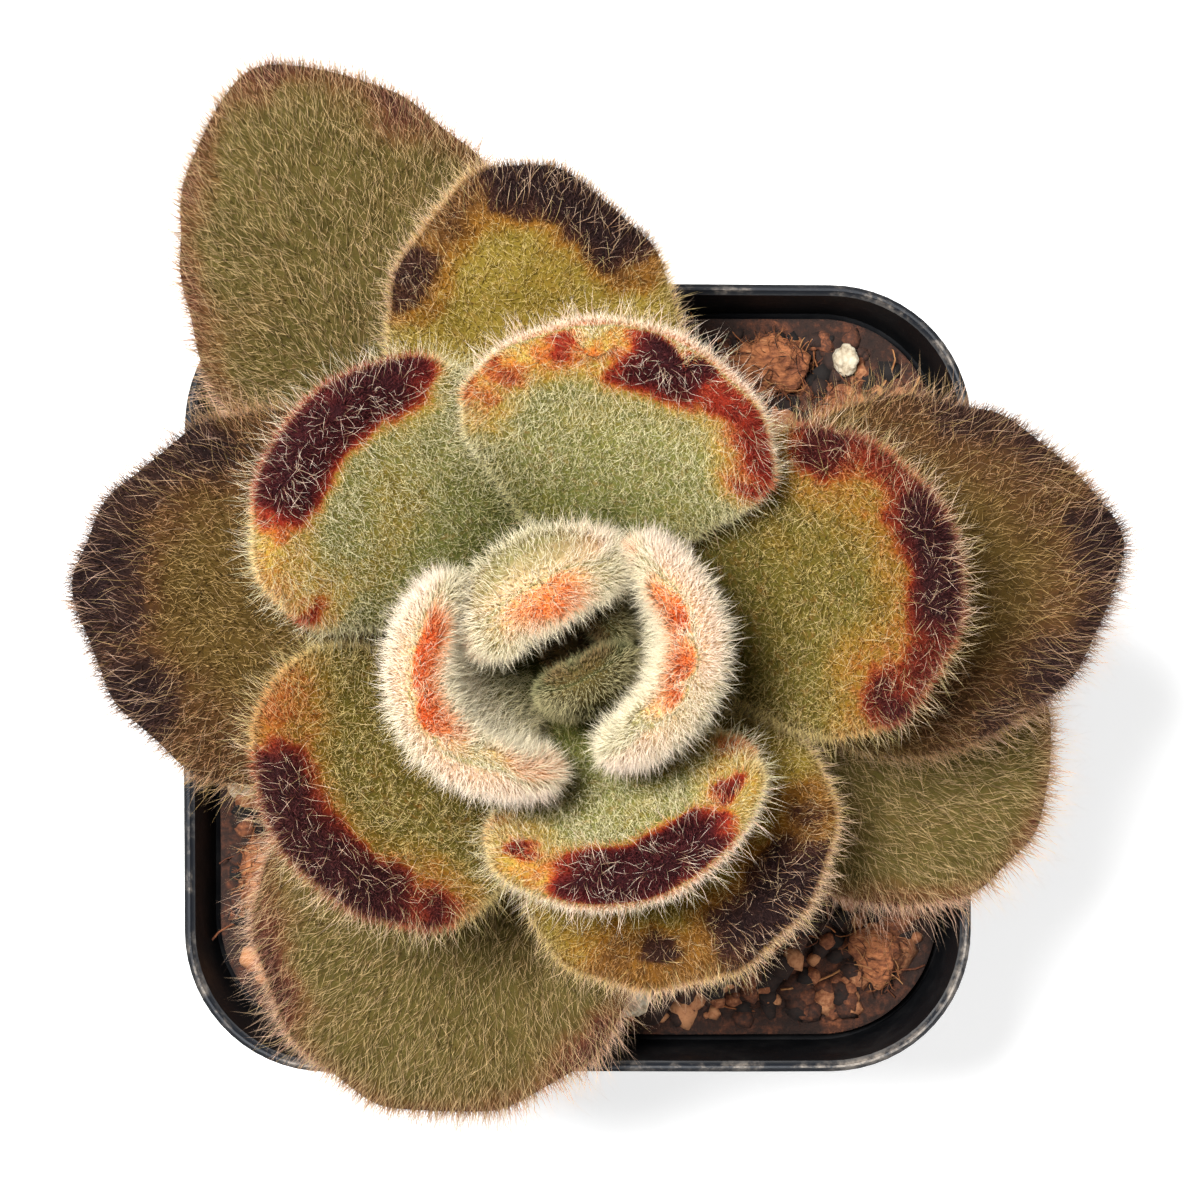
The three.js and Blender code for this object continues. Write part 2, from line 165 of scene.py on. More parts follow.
@dataclass
class Graph:
    """A shader or geometry node tree that is being written."""

    tree: bpy.types.NodeTree

    def node(self, kind: str, settings: dict[str, Any] | None = None, **inputs: Value) -> bpy.types.Node:
        """Adds a node.

        Args:
            kind: the node's type.
            settings: properties set before the sockets, or a ramp's stops under "stops".
            inputs: a value or a Term for each socket, by name with _ for a space, or by identifier
                where it starts with at_.

        Returns:
            The new node.
        """
        made = self.tree.nodes.new(kind)
        for key, value in (settings or {}).items():
            if key == "stops":
                self._set_stops(made, value)
            else:
                setattr(made, key, value)
        for key, value in inputs.items():
            self.give(self._socket(made, key), value)
        return made

    def give(self, socket: bpy.types.NodeSocket, value: Value) -> None:
        """Links a socket to a Term, or sets it.

        Args:
            socket: the input socket.
            value: a Term, or what the socket holds; a colour may leave out its alpha.
        """
        if isinstance(value, Term):
            self.tree.links.new(value.socket, socket)
        elif socket.type == "RGBA":
            socket.default_value = (*value, 1.0)
        else:
            socket.default_value = value

    def _set_stops(self, made: bpy.types.Node, stops: Iterable[tuple[float, Colour]]) -> None:
        """Gives a colour ramp its stops.

        Args:
            made: the colour ramp node.
            stops: pairs of a place on the ramp and a linear colour.
        """
        elements = made.color_ramp.elements
        listed = list(stops)
        while len(elements) < len(listed):
            elements.new(0.5)
        for element, (place, colour) in zip(elements, listed):
            element.position = place
            element.color = (*colour, 1.0)

    def _socket(self, made: bpy.types.Node, key: str) -> bpy.types.NodeSocket:
        """Finds an input socket by its written name or its identifier.

        Args:
            made: the node.
            key: a name with _ for a space, or an identifier that starts with at_.

        Returns:
            The socket.
        """
        if key.startswith("at_"):
            return next(s for s in made.inputs if s.identifier == key[3:])
        wanted = key.replace("_", " ").lower()
        return next(s for s in made.inputs if s.name.lower() == wanted and s.enabled)

    def out(self, made: bpy.types.Node, name: str | int = 0) -> Term:
        """A node's output, by its name, identifier or number.

        Args:
            made: the node.
            name: the output's name, identifier or number.

        Returns:
            The output, ready for an expression.
        """
        if isinstance(name, int):
            return Term(self, made.outputs[name])
        found = [s for s in made.outputs if name in (s.identifier, s.name)]
        return Term(self, found[0])

    def math(self, operation: str, *values: Value, clamp: bool = False) -> Term:
        """Adds a Math node.

        Args:
            operation: the sum to do.
            values: its one to three inputs.
            clamp: whether to hold the result to 0 to 1.

        Returns:
            The result.
        """
        made = self.node("ShaderNodeMath", {"operation": operation, "use_clamp": clamp})
        self._fill(made, values)
        return self.out(made)

    def vector(self, operation: str, *values: Value) -> Term:
        """Adds a Vector Math node and returns its vector.

        Args:
            operation: the sum to do.
            values: its inputs.

        Returns:
            The resulting vector.
        """
        made = self.node("ShaderNodeVectorMath", {"operation": operation})
        self._fill(made, values)
        return self.out(made)

    def scaled(self, vector: Value, factor: Value) -> Term:
        """A vector times a number.

        Args:
            vector: the vector.
            factor: the number.

        Returns:
            The scaled vector.
        """
        made = self.node("ShaderNodeVectorMath", {"operation": "SCALE"}, Scale=factor)
        self._fill(made, [vector])
        return self.out(made)

    def _fill(self, made: bpy.types.Node, values: Iterable[Value]) -> None:
        """Sets a node's first inputs in order.

        Args:
            made: the node.
            values: a value or a Term for each socket.
        """
        for socket, value in zip(made.inputs, values):
            self.give(socket, value)

    def blend(self, factor: Value, first: Value, second: Value, mode: str = "MIX") -> Term:
        """Mixes two colours.

        Args:
            factor: how far towards the second.
            first, second: linear colours or Terms.
            mode: the blend mode.

        Returns:
            The mixed colour.
        """
        made = self.node("ShaderNodeMix", {"data_type": "RGBA", "blend_type": mode}, at_Factor_Float=factor)
        for key, value in (("at_A_Color", first), ("at_B_Color", second)):
            self.give(self._socket(made, key), value)
        return self.out(made, "Result_Color")

    def step(self, value: Value, low: float, high: float, to_low: float = 0.0, to_high: float = 1.0) -> Term:
        """Eases a value from one range to another, held at the ends.

        Args:
            value: the value to ease.
            low, high: the range it comes from.
            to_low, to_high: the range it goes to.

        Returns:
            The eased value.
        """
        made = self.node(
            "ShaderNodeMapRange",
            {"interpolation_type": "SMOOTHSTEP"},
            Value=value,
            From_Min=low,
            From_Max=high,
            To_Min=to_low,
            To_Max=to_high,
        )
        return self.out(made, "Result")

    def ramp(self, factor: Value, scale: Ramp) -> Term:
        """Reads a colour off a ramp."""
        made = self.node("ShaderNodeValToRGB", {"stops": scale.stops}, Fac=factor)
        return self.out(made, "Color")

    def noise(self, where: Term, size: float, detail: float = 3.0, roughness: float = 0.55) -> Term:
        """Noise of 0 to 1.

        Args:
            where: the coordinates, in metres.
            size: the size of its features, in metres.
            detail: the octaves.
            roughness: how strong the finer ones are.

        Returns:
            The noise.
        """
        made = self.node(
            "ShaderNodeTexNoise", None, Vector=where, Scale=1 / size, Detail=detail, Roughness=roughness
        )
        return self.out(made, "Fac")


def new_material(name: str) -> tuple[bpy.types.Material, Graph, bpy.types.Node]:
    """Starts a material.

    Args:
        name: its name.

    Returns:
        The material, its graph and its Principled shader.
    """
    material = bpy.data.materials.new(name)
    material.use_nodes = True
    material.node_tree.nodes.clear()
    graph = Graph(material.node_tree)
    shader = graph.node("ShaderNodeBsdfPrincipled")
    end = graph.node("ShaderNodeOutputMaterial")
    material.node_tree.links.new(shader.outputs["BSDF"], end.inputs["Surface"])
    return material, graph, shader


def feed(graph: Graph, shader: bpy.types.Node, **sockets: Value) -> None:
    """Sets or links sockets of a shader, by name with _ for a space.

    Args:
        graph: the shader's graph.
        shader: the shader node.
        sockets: a value or a Term for each socket.
    """
    for key, value in sockets.items():
        graph.give(shader.inputs[key.replace("_", " ")], value)


def bump(graph: Graph, height: Term, strength: float, distance: float) -> Term:
    """A normal bent by a height in units of distance."""
    made = graph.node("ShaderNodeBump", None, Height=height, Strength=strength, Distance=distance)
    return graph.out(made)


def object_place(graph: Graph) -> Term:
    """The Object coordinates, which are metres in the model's frame."""
    return graph.out(graph.node("ShaderNodeTexCoord"), "Object")


# ---------------------------------------------------------------- leaf colours


class Coat(Enum):
    """How a leaf is coloured, by its age and place."""

    WEATHERED = "weathered"
    UMBER = "umber"
    GOLDEN = "golden"
    AMBER = "amber"
    SAGE = "sage"
    CREAM = "cream"
    BUD = "bud"


TINT = "tint"  # the place on a leaf's colour scale, stored at its vertices
DEPTH = "depth"  # 0 at the neck to 1 at the tip, stored at its vertices; the painted shade towards the neck follows it
COMB = "comb"  # the way the hair leans
HAIR_TINT = "hair_tint"  # the same for the hair, whose pale fringe starts sooner
PLAIN_TINT = 0.15  # the tint of plain leaf; below it lies the pale fringe of the edge
THATCH = "thatch"  # how dense the hair is, as a share
REACH = "reach"  # how long the hair is, as a share
STRAND_MAP = "OFBake"  # the strand's own map: across is its tint, up is root to tip, cut short near the neck as painted shade


@dataclass(frozen=True)
class FeltFinish:
    """A leaf's skin and hair colours, each along the scale from plain leaf to the darkest mark."""

    skin: Ramp
    root: Ramp
    tip: Ramp

    PATCH_SHADE = (0.06, 0.07, 0.02)  # painted shade, darkening random patches of the skin
    BLOOM = (0.95, 0.9, 0.75)  # what lightens its fine felt
    NECK_SHADE = (0.26, 0.32, 0.2)  # painted shade, darkening it towards the neck where the leaves crowd

    def make_skin(self, name: str) -> bpy.types.Material:
        """A leaf's skin under hair: felted, marked where the tint says, with painted shade in patches and at
        the neck.

        Args:
            name: the material's name.

        Returns:
            The material.
        """
        material, graph, shader = new_material(name)
        place = object_place(graph)
        tint = graph.out(graph.node("ShaderNodeAttribute", {"attribute_name": TINT}), "Fac")
        depth = graph.out(graph.node("ShaderNodeAttribute", {"attribute_name": DEPTH}), "Fac")
        patches = graph.noise(place, 2.6 * MM, 4)
        felt = graph.noise(place, 0.16 * MM, 2, 0.7)
        ragged = tint + (graph.noise(place, 0.9 * MM, 3) - 0.5) * 0.34 * graph.step(tint, 0.02, 0.3)
        colour = graph.ramp(ragged, self.skin)
        # Painted shade: random patches of the skin are darkened.
        colour = graph.blend(graph.step(patches, 0.42, 0.72, 0, 0.38), colour, self.PATCH_SHADE, "SOFT_LIGHT")
        colour = graph.blend(graph.step(felt, 0.35, 0.8, 0, 0.5), colour, self.BLOOM, "SOFT_LIGHT")
        # Painted shade: darker towards the neck, where the leaves crowd and shade it.
        colour = graph.blend(graph.step(depth, 0.08, 0.7, 1.0, 0.0), colour, self.NECK_SHADE, "MULTIPLY")
        height = felt * 0.7 + patches * 0.6
        feed(graph, shader, Base_Color=colour, Roughness=0.78, Normal=bump(graph, height, 0.6, 0.12 * MM))
        shader.inputs["Specular IOR Level"].default_value = 0.06
        return material

    def make_hair(self, name: str) -> bpy.types.Material:
        """A leaf's hair: darker at its root and paler at its tip, by where on the scale it grows.

        Args:
            name: the material's name.

        Returns:
            The material.
        """
        material, graph, shader = new_material(name)
        where = graph.node("ShaderNodeUVMap", {"uv_map": STRAND_MAP})
        parts = graph.node("ShaderNodeSeparateXYZ", None, Vector=graph.out(where))
        tint = graph.out(parts, "X")
        along = graph.out(parts, "Y")
        colour = graph.blend(
            graph.step(along, 0.05, 0.75),
            graph.ramp(tint, self.root),
            graph.ramp(tint, self.tip),
        )
        feed(graph, shader, Base_Color=colour, Roughness=0.6)
        shader.inputs["Specular IOR Level"].default_value = 0.2
        return material


FELTS: dict[Coat, FeltFinish] = {
    Coat.WEATHERED: FeltFinish(
        skin=ramp((0, (104, 66, 46)), (0.15, (70, 62, 28)), (0.4, (82, 56, 30)), (0.65, (70, 38, 26)),
                  (1, (34, 20, 18))),
        root=ramp((0, (172, 118, 92)), (0.15, (108, 94, 52)), (0.45, (112, 80, 52)), (0.75, (80, 48, 38)),
                  (1, (44, 30, 28))),
        tip=ramp((0, (244, 204, 178)), (0.15, (216, 186, 132)), (0.45, (214, 164, 122)),
                 (0.75, (184, 128, 104)), (1, (112, 78, 70))),
    ),
    Coat.UMBER: FeltFinish(
        skin=ramp((0, (66, 42, 30)), (0.15, (70, 54, 22)), (0.4, (64, 42, 20)), (0.65, (38, 23, 18)),
                  (1, (24, 14, 14))),
        root=ramp((0, (146, 104, 84)), (0.15, (104, 82, 42)), (0.45, (86, 58, 34)), (0.75, (46, 29, 24)),
                  (1, (30, 19, 19))),
        tip=ramp((0, (240, 200, 178)), (0.15, (204, 170, 108)), (0.45, (196, 146, 104)),
                 (0.75, (108, 74, 62)), (1, (70, 47, 44))),
    ),
    Coat.GOLDEN: FeltFinish(
        skin=ramp((0, (146, 98, 62)), (0.15, (112, 96, 36)), (0.4, (112, 74, 22)), (0.65, (48, 26, 18)),
                  (1, (24, 13, 13))),
        root=ramp((0, (200, 146, 112)), (0.15, (148, 128, 62)), (0.45, (136, 90, 38)), (0.75, (50, 29, 23)),
                  (1, (30, 18, 18))),
        tip=ramp((0, (248, 212, 184)), (0.15, (226, 202, 134)), (0.45, (214, 164, 100)),
                 (0.75, (108, 72, 58)), (1, (68, 45, 42))),
    ),
    Coat.AMBER: FeltFinish(
        skin=ramp((0, (168, 96, 50)), (0.15, (84, 76, 30)), (0.33, (118, 88, 30)), (0.46, (124, 66, 24)),
                  (0.6, (98, 32, 16)), (0.78, (58, 17, 14)), (1, (32, 12, 13))),
        root=ramp((0, (222, 162, 118)), (0.15, (122, 110, 54)), (0.35, (152, 110, 48)),
                  (0.48, (146, 80, 36)), (0.63, (112, 40, 24)), (0.8, (66, 22, 20)), (1, (42, 17, 19))),
        tip=ramp((0, (250, 218, 194)), (0.15, (214, 194, 130)), (0.35, (226, 182, 114)),
                 (0.48, (214, 142, 88)), (0.63, (166, 78, 56)), (0.8, (118, 50, 44)), (1, (88, 42, 42))),
    ),
    Coat.SAGE: FeltFinish(
        skin=ramp((0, (204, 132, 90)), (0.15, (112, 114, 62)), (0.31, (156, 130, 54)),
                  (0.44, (158, 88, 32)), (0.58, (124, 36, 20)), (0.76, (70, 17, 16)), (1, (36, 12, 15))),
        root=ramp((0, (240, 186, 150)), (0.15, (160, 160, 106)), (0.33, (196, 164, 88)),
                  (0.47, (182, 104, 48)), (0.62, (138, 42, 28)), (0.8, (78, 22, 22)), (1, (48, 18, 21))),
        tip=ramp((0, (252, 228, 212)), (0.15, (238, 230, 188)), (0.33, (242, 214, 152)),
                 (0.47, (232, 158, 104)), (0.62, (186, 76, 56)), (0.8, (124, 44, 40)), (1, (90, 36, 38))),
    ),
    Coat.CREAM: FeltFinish(
        skin=ramp((0, (214, 172, 134)), (0.15, (140, 134, 86)), (0.42, (206, 158, 104)),
                  (0.75, (196, 102, 46)), (1, (164, 62, 24))),
        root=ramp((0, (236, 204, 170)), (0.15, (188, 180, 132)), (0.42, (226, 184, 136)),
                  (0.75, (212, 122, 66)), (1, (182, 78, 34))),
        tip=ramp((0, (250, 230, 212)), (0.15, (242, 232, 200)), (0.42, (246, 218, 188)),
                 (0.75, (240, 178, 132)), (1, (226, 138, 88))),
    ),
    Coat.BUD: FeltFinish(
        skin=ramp((0, (96, 84, 48)), (0.15, (62, 64, 34)), (0.5, (76, 62, 32)), (1, (76, 42, 24))),
        root=ramp((0, (120, 108, 68)), (0.15, (82, 84, 50)), (0.5, (94, 76, 44)), (1, (86, 50, 30))),
        tip=ramp((0, (196, 184, 138)), (0.15, (142, 140, 98)), (0.5, (152, 126, 84)), (1, (140, 90, 60))),
    ),
}

# ---------------------------------------------------------------- hair


@dataclass(frozen=True)
class Layer:
    """One layer of hair. Lengths are in millimetres, and density is strands a square millimetre.

    lie: 0 stands straight up and 1 lies along the leaf.   stray: how far strands point apart.
    fade: the share of a mark's tint that its strands take. Below 0 they turn to the pale fringe's
    colours over the mark.
    """

    density: float
    length: float
    width: float
    bow: float
    lie: float
    stray: float
    fade: float = 1.0

    def inputs(self, label: str) -> dict[str, float]:
        """The layer's sizes in metres, by the tree's input names.

        Args:
            label: the layer's name in the tree.

        Returns:
            A value for each of the layer's inputs.
        """
        return {
            f"{label} Density": self.density / MM**2,
            f"{label} Length": self.length * MM,
            f"{label} Width": self.width / self.length / 2,
            f"{label} Bow": self.bow,
            f"{label} Lie": self.lie,
            f"{label} Stray": self.stray,
            f"{label} Fade": self.fade,
        }


@dataclass(frozen=True)
class Pelt:
    """A leaf's hair: short dense fuzz, and long sparse guard hairs over it."""

    fuzz: Layer
    guard: Layer


class NodeTool:
    """A geometry node tree with named inputs, built once and then run on any mesh."""

    def __init__(self, name: str, inputs: Iterable[tuple[str, str]]) -> None:
        """Starts the tree with its inputs.

        Args:
            name: the tree's name.
            inputs: the name and the kind of each input, after the mesh and before the seed and material.
        """
        tree = bpy.data.node_groups.new(name, "GeometryNodeTree")
        face = tree.interface
        face.new_socket("Geometry", in_out="INPUT", socket_type="NodeSocketGeometry")
        self.sockets: dict[str, str] = {}
        for label, kind in (*inputs, ("Seed", "Int"), ("Material", "Material")):
            made = face.new_socket(label, in_out="INPUT", socket_type=f"NodeSocket{kind}")
            self.sockets[label] = made.identifier
        face.new_socket("Geometry", in_out="OUTPUT", socket_type="NodeSocketGeometry")
        self.tree = tree
        self.graph = Graph(tree)
        given = self.graph.node("NodeGroupInput")
        self.given = {socket.name: Term(self.graph, socket) for socket in given.outputs if socket.name}

    def scatter(self, density: Term, seed: Term) -> bpy.types.Node:
        """Random points on the mesh.

        Args:
            density: how many a square metre.
            seed: for the draw.

        Returns:
            The node that scatters them.
        """
        return self.graph.node(
            "GeometryNodeDistributePointsOnFaces",
            {"distribute_method": "RANDOM"},
            Mesh=self.given["Geometry"],
            Density=density,
            Seed=seed,
        )

    def read(self, name: str, kind: str = "FLOAT") -> Term:
        """A stored attribute."""
        made = self.graph.node("GeometryNodeInputNamedAttribute", {"data_type": kind}, Name=name)
        return self.graph.out(made, "Attribute")

    def stored(self, geometry: Term, name: str, value: Value) -> Term:
        """A geometry with a number stored at its points.

        Args:
            geometry: the geometry.
            name: the attribute's name.
            value: the number.

        Returns:
            The geometry that holds it.
        """
        made = self.graph.node(
            "GeometryNodeStoreNamedAttribute",
            {"data_type": "FLOAT", "domain": "POINT"},
            Geometry=geometry,
            Name=name,
            Value=value,
        )
        return self.graph.out(made)

    def random(self, low: Value, high: Value, seed: Term) -> Term:
        """A random number for each point.

        Args:
            low, high: the range.
            seed: for the draw.

        Returns:
            The number.
        """
        made = self.graph.node(
            "FunctionNodeRandomValue", {"data_type": "FLOAT"}, at_Min_001=low, at_Max_001=high, Seed=seed
        )
        return self.graph.out(made, "Value_001")

    def random_vector(self, reach: tuple[float, float, float], seed: Term) -> Term:
        """A random vector for each point.

        Args:
            reach: how far it goes either way along each axis.
            seed: for the draw.

        Returns:
            The vector.
        """
        made = self.graph.node(
            "FunctionNodeRandomValue",
            {"data_type": "FLOAT_VECTOR"},
            at_Min=tuple(-value for value in reach),
            at_Max=reach,
            Seed=seed,
        )
        return self.graph.out(made, "Value")

    def end(self, geometry: Term) -> None:
        """Shades a geometry smooth, gives it its material and puts it out.

        Args:
            geometry: what the tree made, realized.
        """
        smooth = self.graph.node("GeometryNodeSetShadeSmooth", None, Geometry=geometry)
        dressed = self.graph.node(
            "GeometryNodeSetMaterial",
            None,
            Geometry=self.graph.out(smooth),
            Material=self.given["Material"],
        )
        self.graph.node("NodeGroupOutput", None, Geometry=self.graph.out(dressed))

    def run(self, name: str, mesh: bpy.types.Mesh, **settings: Any) -> bpy.types.Object:
        """Runs the tree on a mesh and keeps the result as a plain mesh.

        Args:
            name: the new object's name.
            mesh: what the tree starts from; it is used up.
            settings: a value for each input, by its name with _ for a space.

        Returns:
            The object, with no modifier left.
        """
        piece = bpy.data.objects.new(name, mesh)
        bpy.context.scene.collection.objects.link(piece)
        modifier = piece.modifiers.new("nodes", "NODES")
        modifier.node_group = self.tree
        for label, value in settings.items():
            modifier[self.sockets[label.replace("_", " ")]] = value
        return settled(piece)


class HairTree(NodeTool):
    """The geometry nodes that grow two layers of strands from a skin."""

    SIZES = ("Density", "Length", "Width", "Bow", "Lie", "Stray", "Fade")
    SEGMENTS = {"Fuzz": 1, "Guard": 2}

    def __init__(self) -> None:
        """Builds the tree: both layers, realized, mapped and given their material."""
        super().__init__("grow_hair", [(f"{a} {b}", "Float") for a in self.SEGMENTS for b in self.SIZES])
        graph = self.graph
        both = graph.node("GeometryNodeJoinGeometry")
        for step, (label, segments) in enumerate(self.SEGMENTS.items()):
            grown = self._layer(label, segments, 20 * step)
            self.tree.links.new(grown.socket, both.inputs[0])
        real = graph.node("GeometryNodeRealizeInstances", None, Geometry=graph.out(both))
        across = self.read("tone") * 0.97 + self.read("side") * 0.005 + 0.015
        # Painted shade: near the neck the strands use only the lower part of the map, so they keep the
        # darker root colour.
        shade = graph.step(self.read(DEPTH), 0.08, 0.66, 0.12, 1.0)
        spot = graph.node("ShaderNodeCombineXYZ", None, X=across, Y=self.read("along") * shade)
        mapped = graph.node(
            "GeometryNodeStoreNamedAttribute",
            {"data_type": "FLOAT2", "domain": "CORNER"},
            Geometry=graph.out(real),
            Name=STRAND_MAP,
            Value=graph.out(spot),
        )
        self.end(graph.out(mapped))

    def _layer(self, label: str, segments: int, shift: int) -> Term:
        """One layer's strands on the skin.

        Args:
            label: the layer's name in the inputs.
            segments: the pieces of a strand.
            shift: moves the layer's random draws.

        Returns:
            The strands, not yet realized.
        """
        graph = self.graph
        size = {name: self.given[f"{label} {name}"] for name in self.SIZES}
        seed = self.given["Seed"] + shift
        scatter = self.scatter(size["Density"] * self.read(THATCH), seed)
        comb = self.read(COMB, "FLOAT_VECTOR")
        way = graph.vector("ADD", graph.out(scatter, "Normal"), graph.scaled(comb, size["Lie"]))
        stray = self.random_vector((1.0, 1.0, 1.0), seed + 1)
        way = graph.vector("ADD", way, graph.scaled(stray, size["Stray"]))
        aimed = graph.node("FunctionNodeAlignRotationToVector", {"axis": "Z"}, Vector=way)
        spin = graph.node("ShaderNodeCombineXYZ", None, Z=self.random(-math.pi, math.pi, seed + 2))
        turned = graph.node(
            "FunctionNodeRotateRotation",
            {"rotation_space": "LOCAL"},
            Rotation=graph.out(aimed),
            Rotate_By=graph.out(spin),
        )
        scale = size["Length"] * self.read(REACH) * self.random(0.55, 1.35, seed + 3)
        jitter = self.random(-0.06, 0.06, seed + 4)
        tint = self.read(HAIR_TINT)
        tinted = graph.math("MINIMUM", (tint - PLAIN_TINT) * size["Fade"] + PLAIN_TINT, tint)
        tone = graph.math("ADD", tinted, jitter, clamp=True)
        placed = graph.node(
            "GeometryNodeInstanceOnPoints",
            None,
            Points=self.stored(graph.out(scatter, "Points"), "tone", tone),
            Instance=self._strand(size["Width"], size["Bow"], segments),
            Rotation=graph.out(turned),
            Scale=scale,
        )
        return graph.out(placed)

    def _strand(self, width: Term, bow: Term, segments: int) -> Term:
        """One strand, a metre tall: a three-sided taper that bows to one side.

        Args:
            width: its radius at the root, as a share of its length.
            bow: how far its tip leans over.
            segments: how many pieces it has.

        Returns:
            The strand.
        """
        graph = self.graph
        cone = graph.node(
            "GeometryNodeMeshCone",
            {"fill_type": "NGON"},
            Vertices=3,
            Side_Segments=segments,
            Radius_Bottom=width,
            Radius_Top=0.0,
            Depth=1.0,
        )
        place = graph.out(graph.node("GeometryNodeInputPosition"))
        where = graph.node("ShaderNodeSeparateXYZ", None, Vector=place)
        along = graph.out(where, "Z")
        marked = graph.out(cone, "Mesh")
        for name, value in (("along", along), ("side", graph.out(where, "Y") / width)):
            marked = self.stored(marked, name, value)
        bowed = graph.node("ShaderNodeCombineXYZ", None, X=bow * along * along, Z=-0.03)
        bent = graph.node("GeometryNodeSetPosition", None, Geometry=marked, Offset=graph.out(bowed))
        return graph.out(bent)

    def grow(self, name: str, skin: bpy.types.Mesh, pelt: Pelt, material: bpy.types.Material,
             seed: int) -> bpy.types.Object:
        """Grows hair on a skin.

        Args:
            name: the hair piece's name.
            skin: the mesh it grows from, which is left as it is.
            pelt: how it grows.
            material: its finish.
            seed: for its random draws.

        Returns:
            The hair alone, as a plain mesh.
        """
        sizes = {**pelt.fuzz.inputs("Fuzz"), **pelt.guard.inputs("Guard")}
        return self.run(name, skin.copy(), **sizes, Seed=seed, Material=material)


def settled(piece: bpy.types.Object) -> bpy.types.Object:
    """Applies a piece's modifiers by taking its evaluated mesh.

    Args:
        piece: an object with live modifiers.

    Returns:
        The same object, with a plain mesh and no modifiers.
    """
    graph = bpy.context.evaluated_depsgraph_get()
    result = bpy.data.meshes.new_from_object(piece.evaluated_get(graph), depsgraph=graph)
    old = piece.data
    piece.modifiers.clear()
    piece.data = result
    result.name = piece.name
    bpy.data.meshes.remove(old)
    return piece


# ---------------------------------------------------------------- meshes


def loft_faces(rings: int, count: int) -> list[tuple[int, ...]]:
    """The faces of a closed stack of rings, with a cap at each end.

    Args:
        rings: how many rings.
        count: how many points each has.

    Returns:
        The faces as vertex numbers, facing out where the rings run anticlockwise about the way ahead.
    """
    faces: list[tuple[int, ...]] = [tuple(reversed(range(count)))]
    for ring in range(rings - 1):
        for i in range(count):
            here = ring * count + i
            beside = ring * count + (i + 1) % count
            faces.append((here, beside, beside + count, here + count))
    faces.append(tuple(range((rings - 1) * count, rings * count)))
    return faces


def new_piece(
    name: str,
    points: np.ndarray,
    faces: list[tuple[int, ...]],
    material: bpy.types.Material | None = None,
    smooth: bool = True,
) -> bpy.types.Object:
    """Makes an object from points and faces.

    Args:
        name: its name.
        points: an array of places, in metres.
        faces: vertex numbers of each face.
        material: its finish.
        smooth: whether to shade it smooth.

    Returns:
        The object, at the origin.
    """
    mesh = bpy.data.meshes.new(name)
    mesh.from_pydata(points.reshape(-1, 3).tolist(), [], faces)
    mesh.polygons.foreach_set("use_smooth", [smooth] * len(mesh.polygons))
    if material is not None:
        mesh.materials.append(material)
    piece = bpy.data.objects.new(name, mesh)
    bpy.context.scene.collection.objects.link(piece)
    return piece


def store(mesh: bpy.types.Mesh, name: str, values: np.ndarray) -> None:
    """Stores a number or a vector at each vertex.

    Args:
        mesh: what it is stored on.
        name: the attribute's name.
        values: one row for each vertex.
    """
    kind, key = ("FLOAT_VECTOR", "vector") if values.ndim > 1 else ("FLOAT", "value")
    attribute = mesh.attributes.new(name, kind, "POINT")
    attribute.data.foreach_set(key, values.astype(np.float32).ravel())


def smoothstep(value: np.ndarray | float) -> np.ndarray:
    """Eases 0 to 1, held at the ends."""
    held = np.clip(value, 0.0, 1.0)
    return held * held * (3 - 2 * held)


def ripple(points: np.ndarray, size: float, seed: float) -> np.ndarray:
    """Smooth noise of -1 to 1 at each point.

    Args:
        points: places, in metres.
        size: the size of its features, in metres.
        seed: moves the pattern.

    Returns:
        One number for each point.
    """
    moved = points.reshape(-1, 3) / size + seed
    return np.array([noise.noise(Vector(place)) for place in moved])


def settle(piece: bpy.types.Object, slot: str, *nodes: str) -> None:
    """Rides a piece on the body, hides the nodes it stands for, and reports it.

    Args:
        piece: the finished piece.
        slot: the record's material slot; not used.
        nodes: the CAD nodes that it replaces.
    """
    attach(piece, BODY)
    if nodes:
        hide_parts(*nodes)
    LOG.info("%s: %d faces", piece.name, len(piece.data.polygons))


# ---------------------------------------------------------------- leaves


@dataclass(frozen=True)
class Mark:
    """A dark mark by a leaf's edge.

    place: 0 at the tip to 1 at the neck, and negative on the right-hand edge.
    spread: half of its length on the same scale.   strength: how dark, 0 to 1.
    start, end: how far from the edge it lies, in millimetres; an end of 0 takes the leaf's band.
    """

    place: float
    spread: float
    strength: float
    start: float = -9.0
    end: float = 0.0


@dataclass(frozen=True)
class Shoot:
    """The stem and what every leaf shares, in millimetres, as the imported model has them."""

    x: float = -0.5
    y: float = 3.5
    soil_level: float = 56.0
    soil_radius: float = 3.8
    top_radius: float = 2.0
    first_seat: float = 5.0
    neck_width: float = 7.0
    neck_thickness: float = 2.6
    clearance: float = 0.3
    neck_spread: float = 0.34
    leaves: int = 17
    tip_rounding: float = 0.8
    edge_fullness: float = 0.8

    @property
    def internode(self) -> float:
        """The height from one leaf to the next."""
        return 0.52 * (self.neck_thickness + 2 * self.clearance)

    @property
    def top(self) -> float:
        """The height of the stem's top."""
        stacked = (self.leaves - 1) * self.internode
        return self.soil_level + self.first_seat + stacked + self.neck_thickness / 2

    def radius(self, height: float) -> float:
        """The stem's radius at a height."""
        share = (height - self.soil_level) / (self.top - self.soil_level)
        return float(np.interp(share, [0, 1], [self.soil_radius, self.top_radius]))


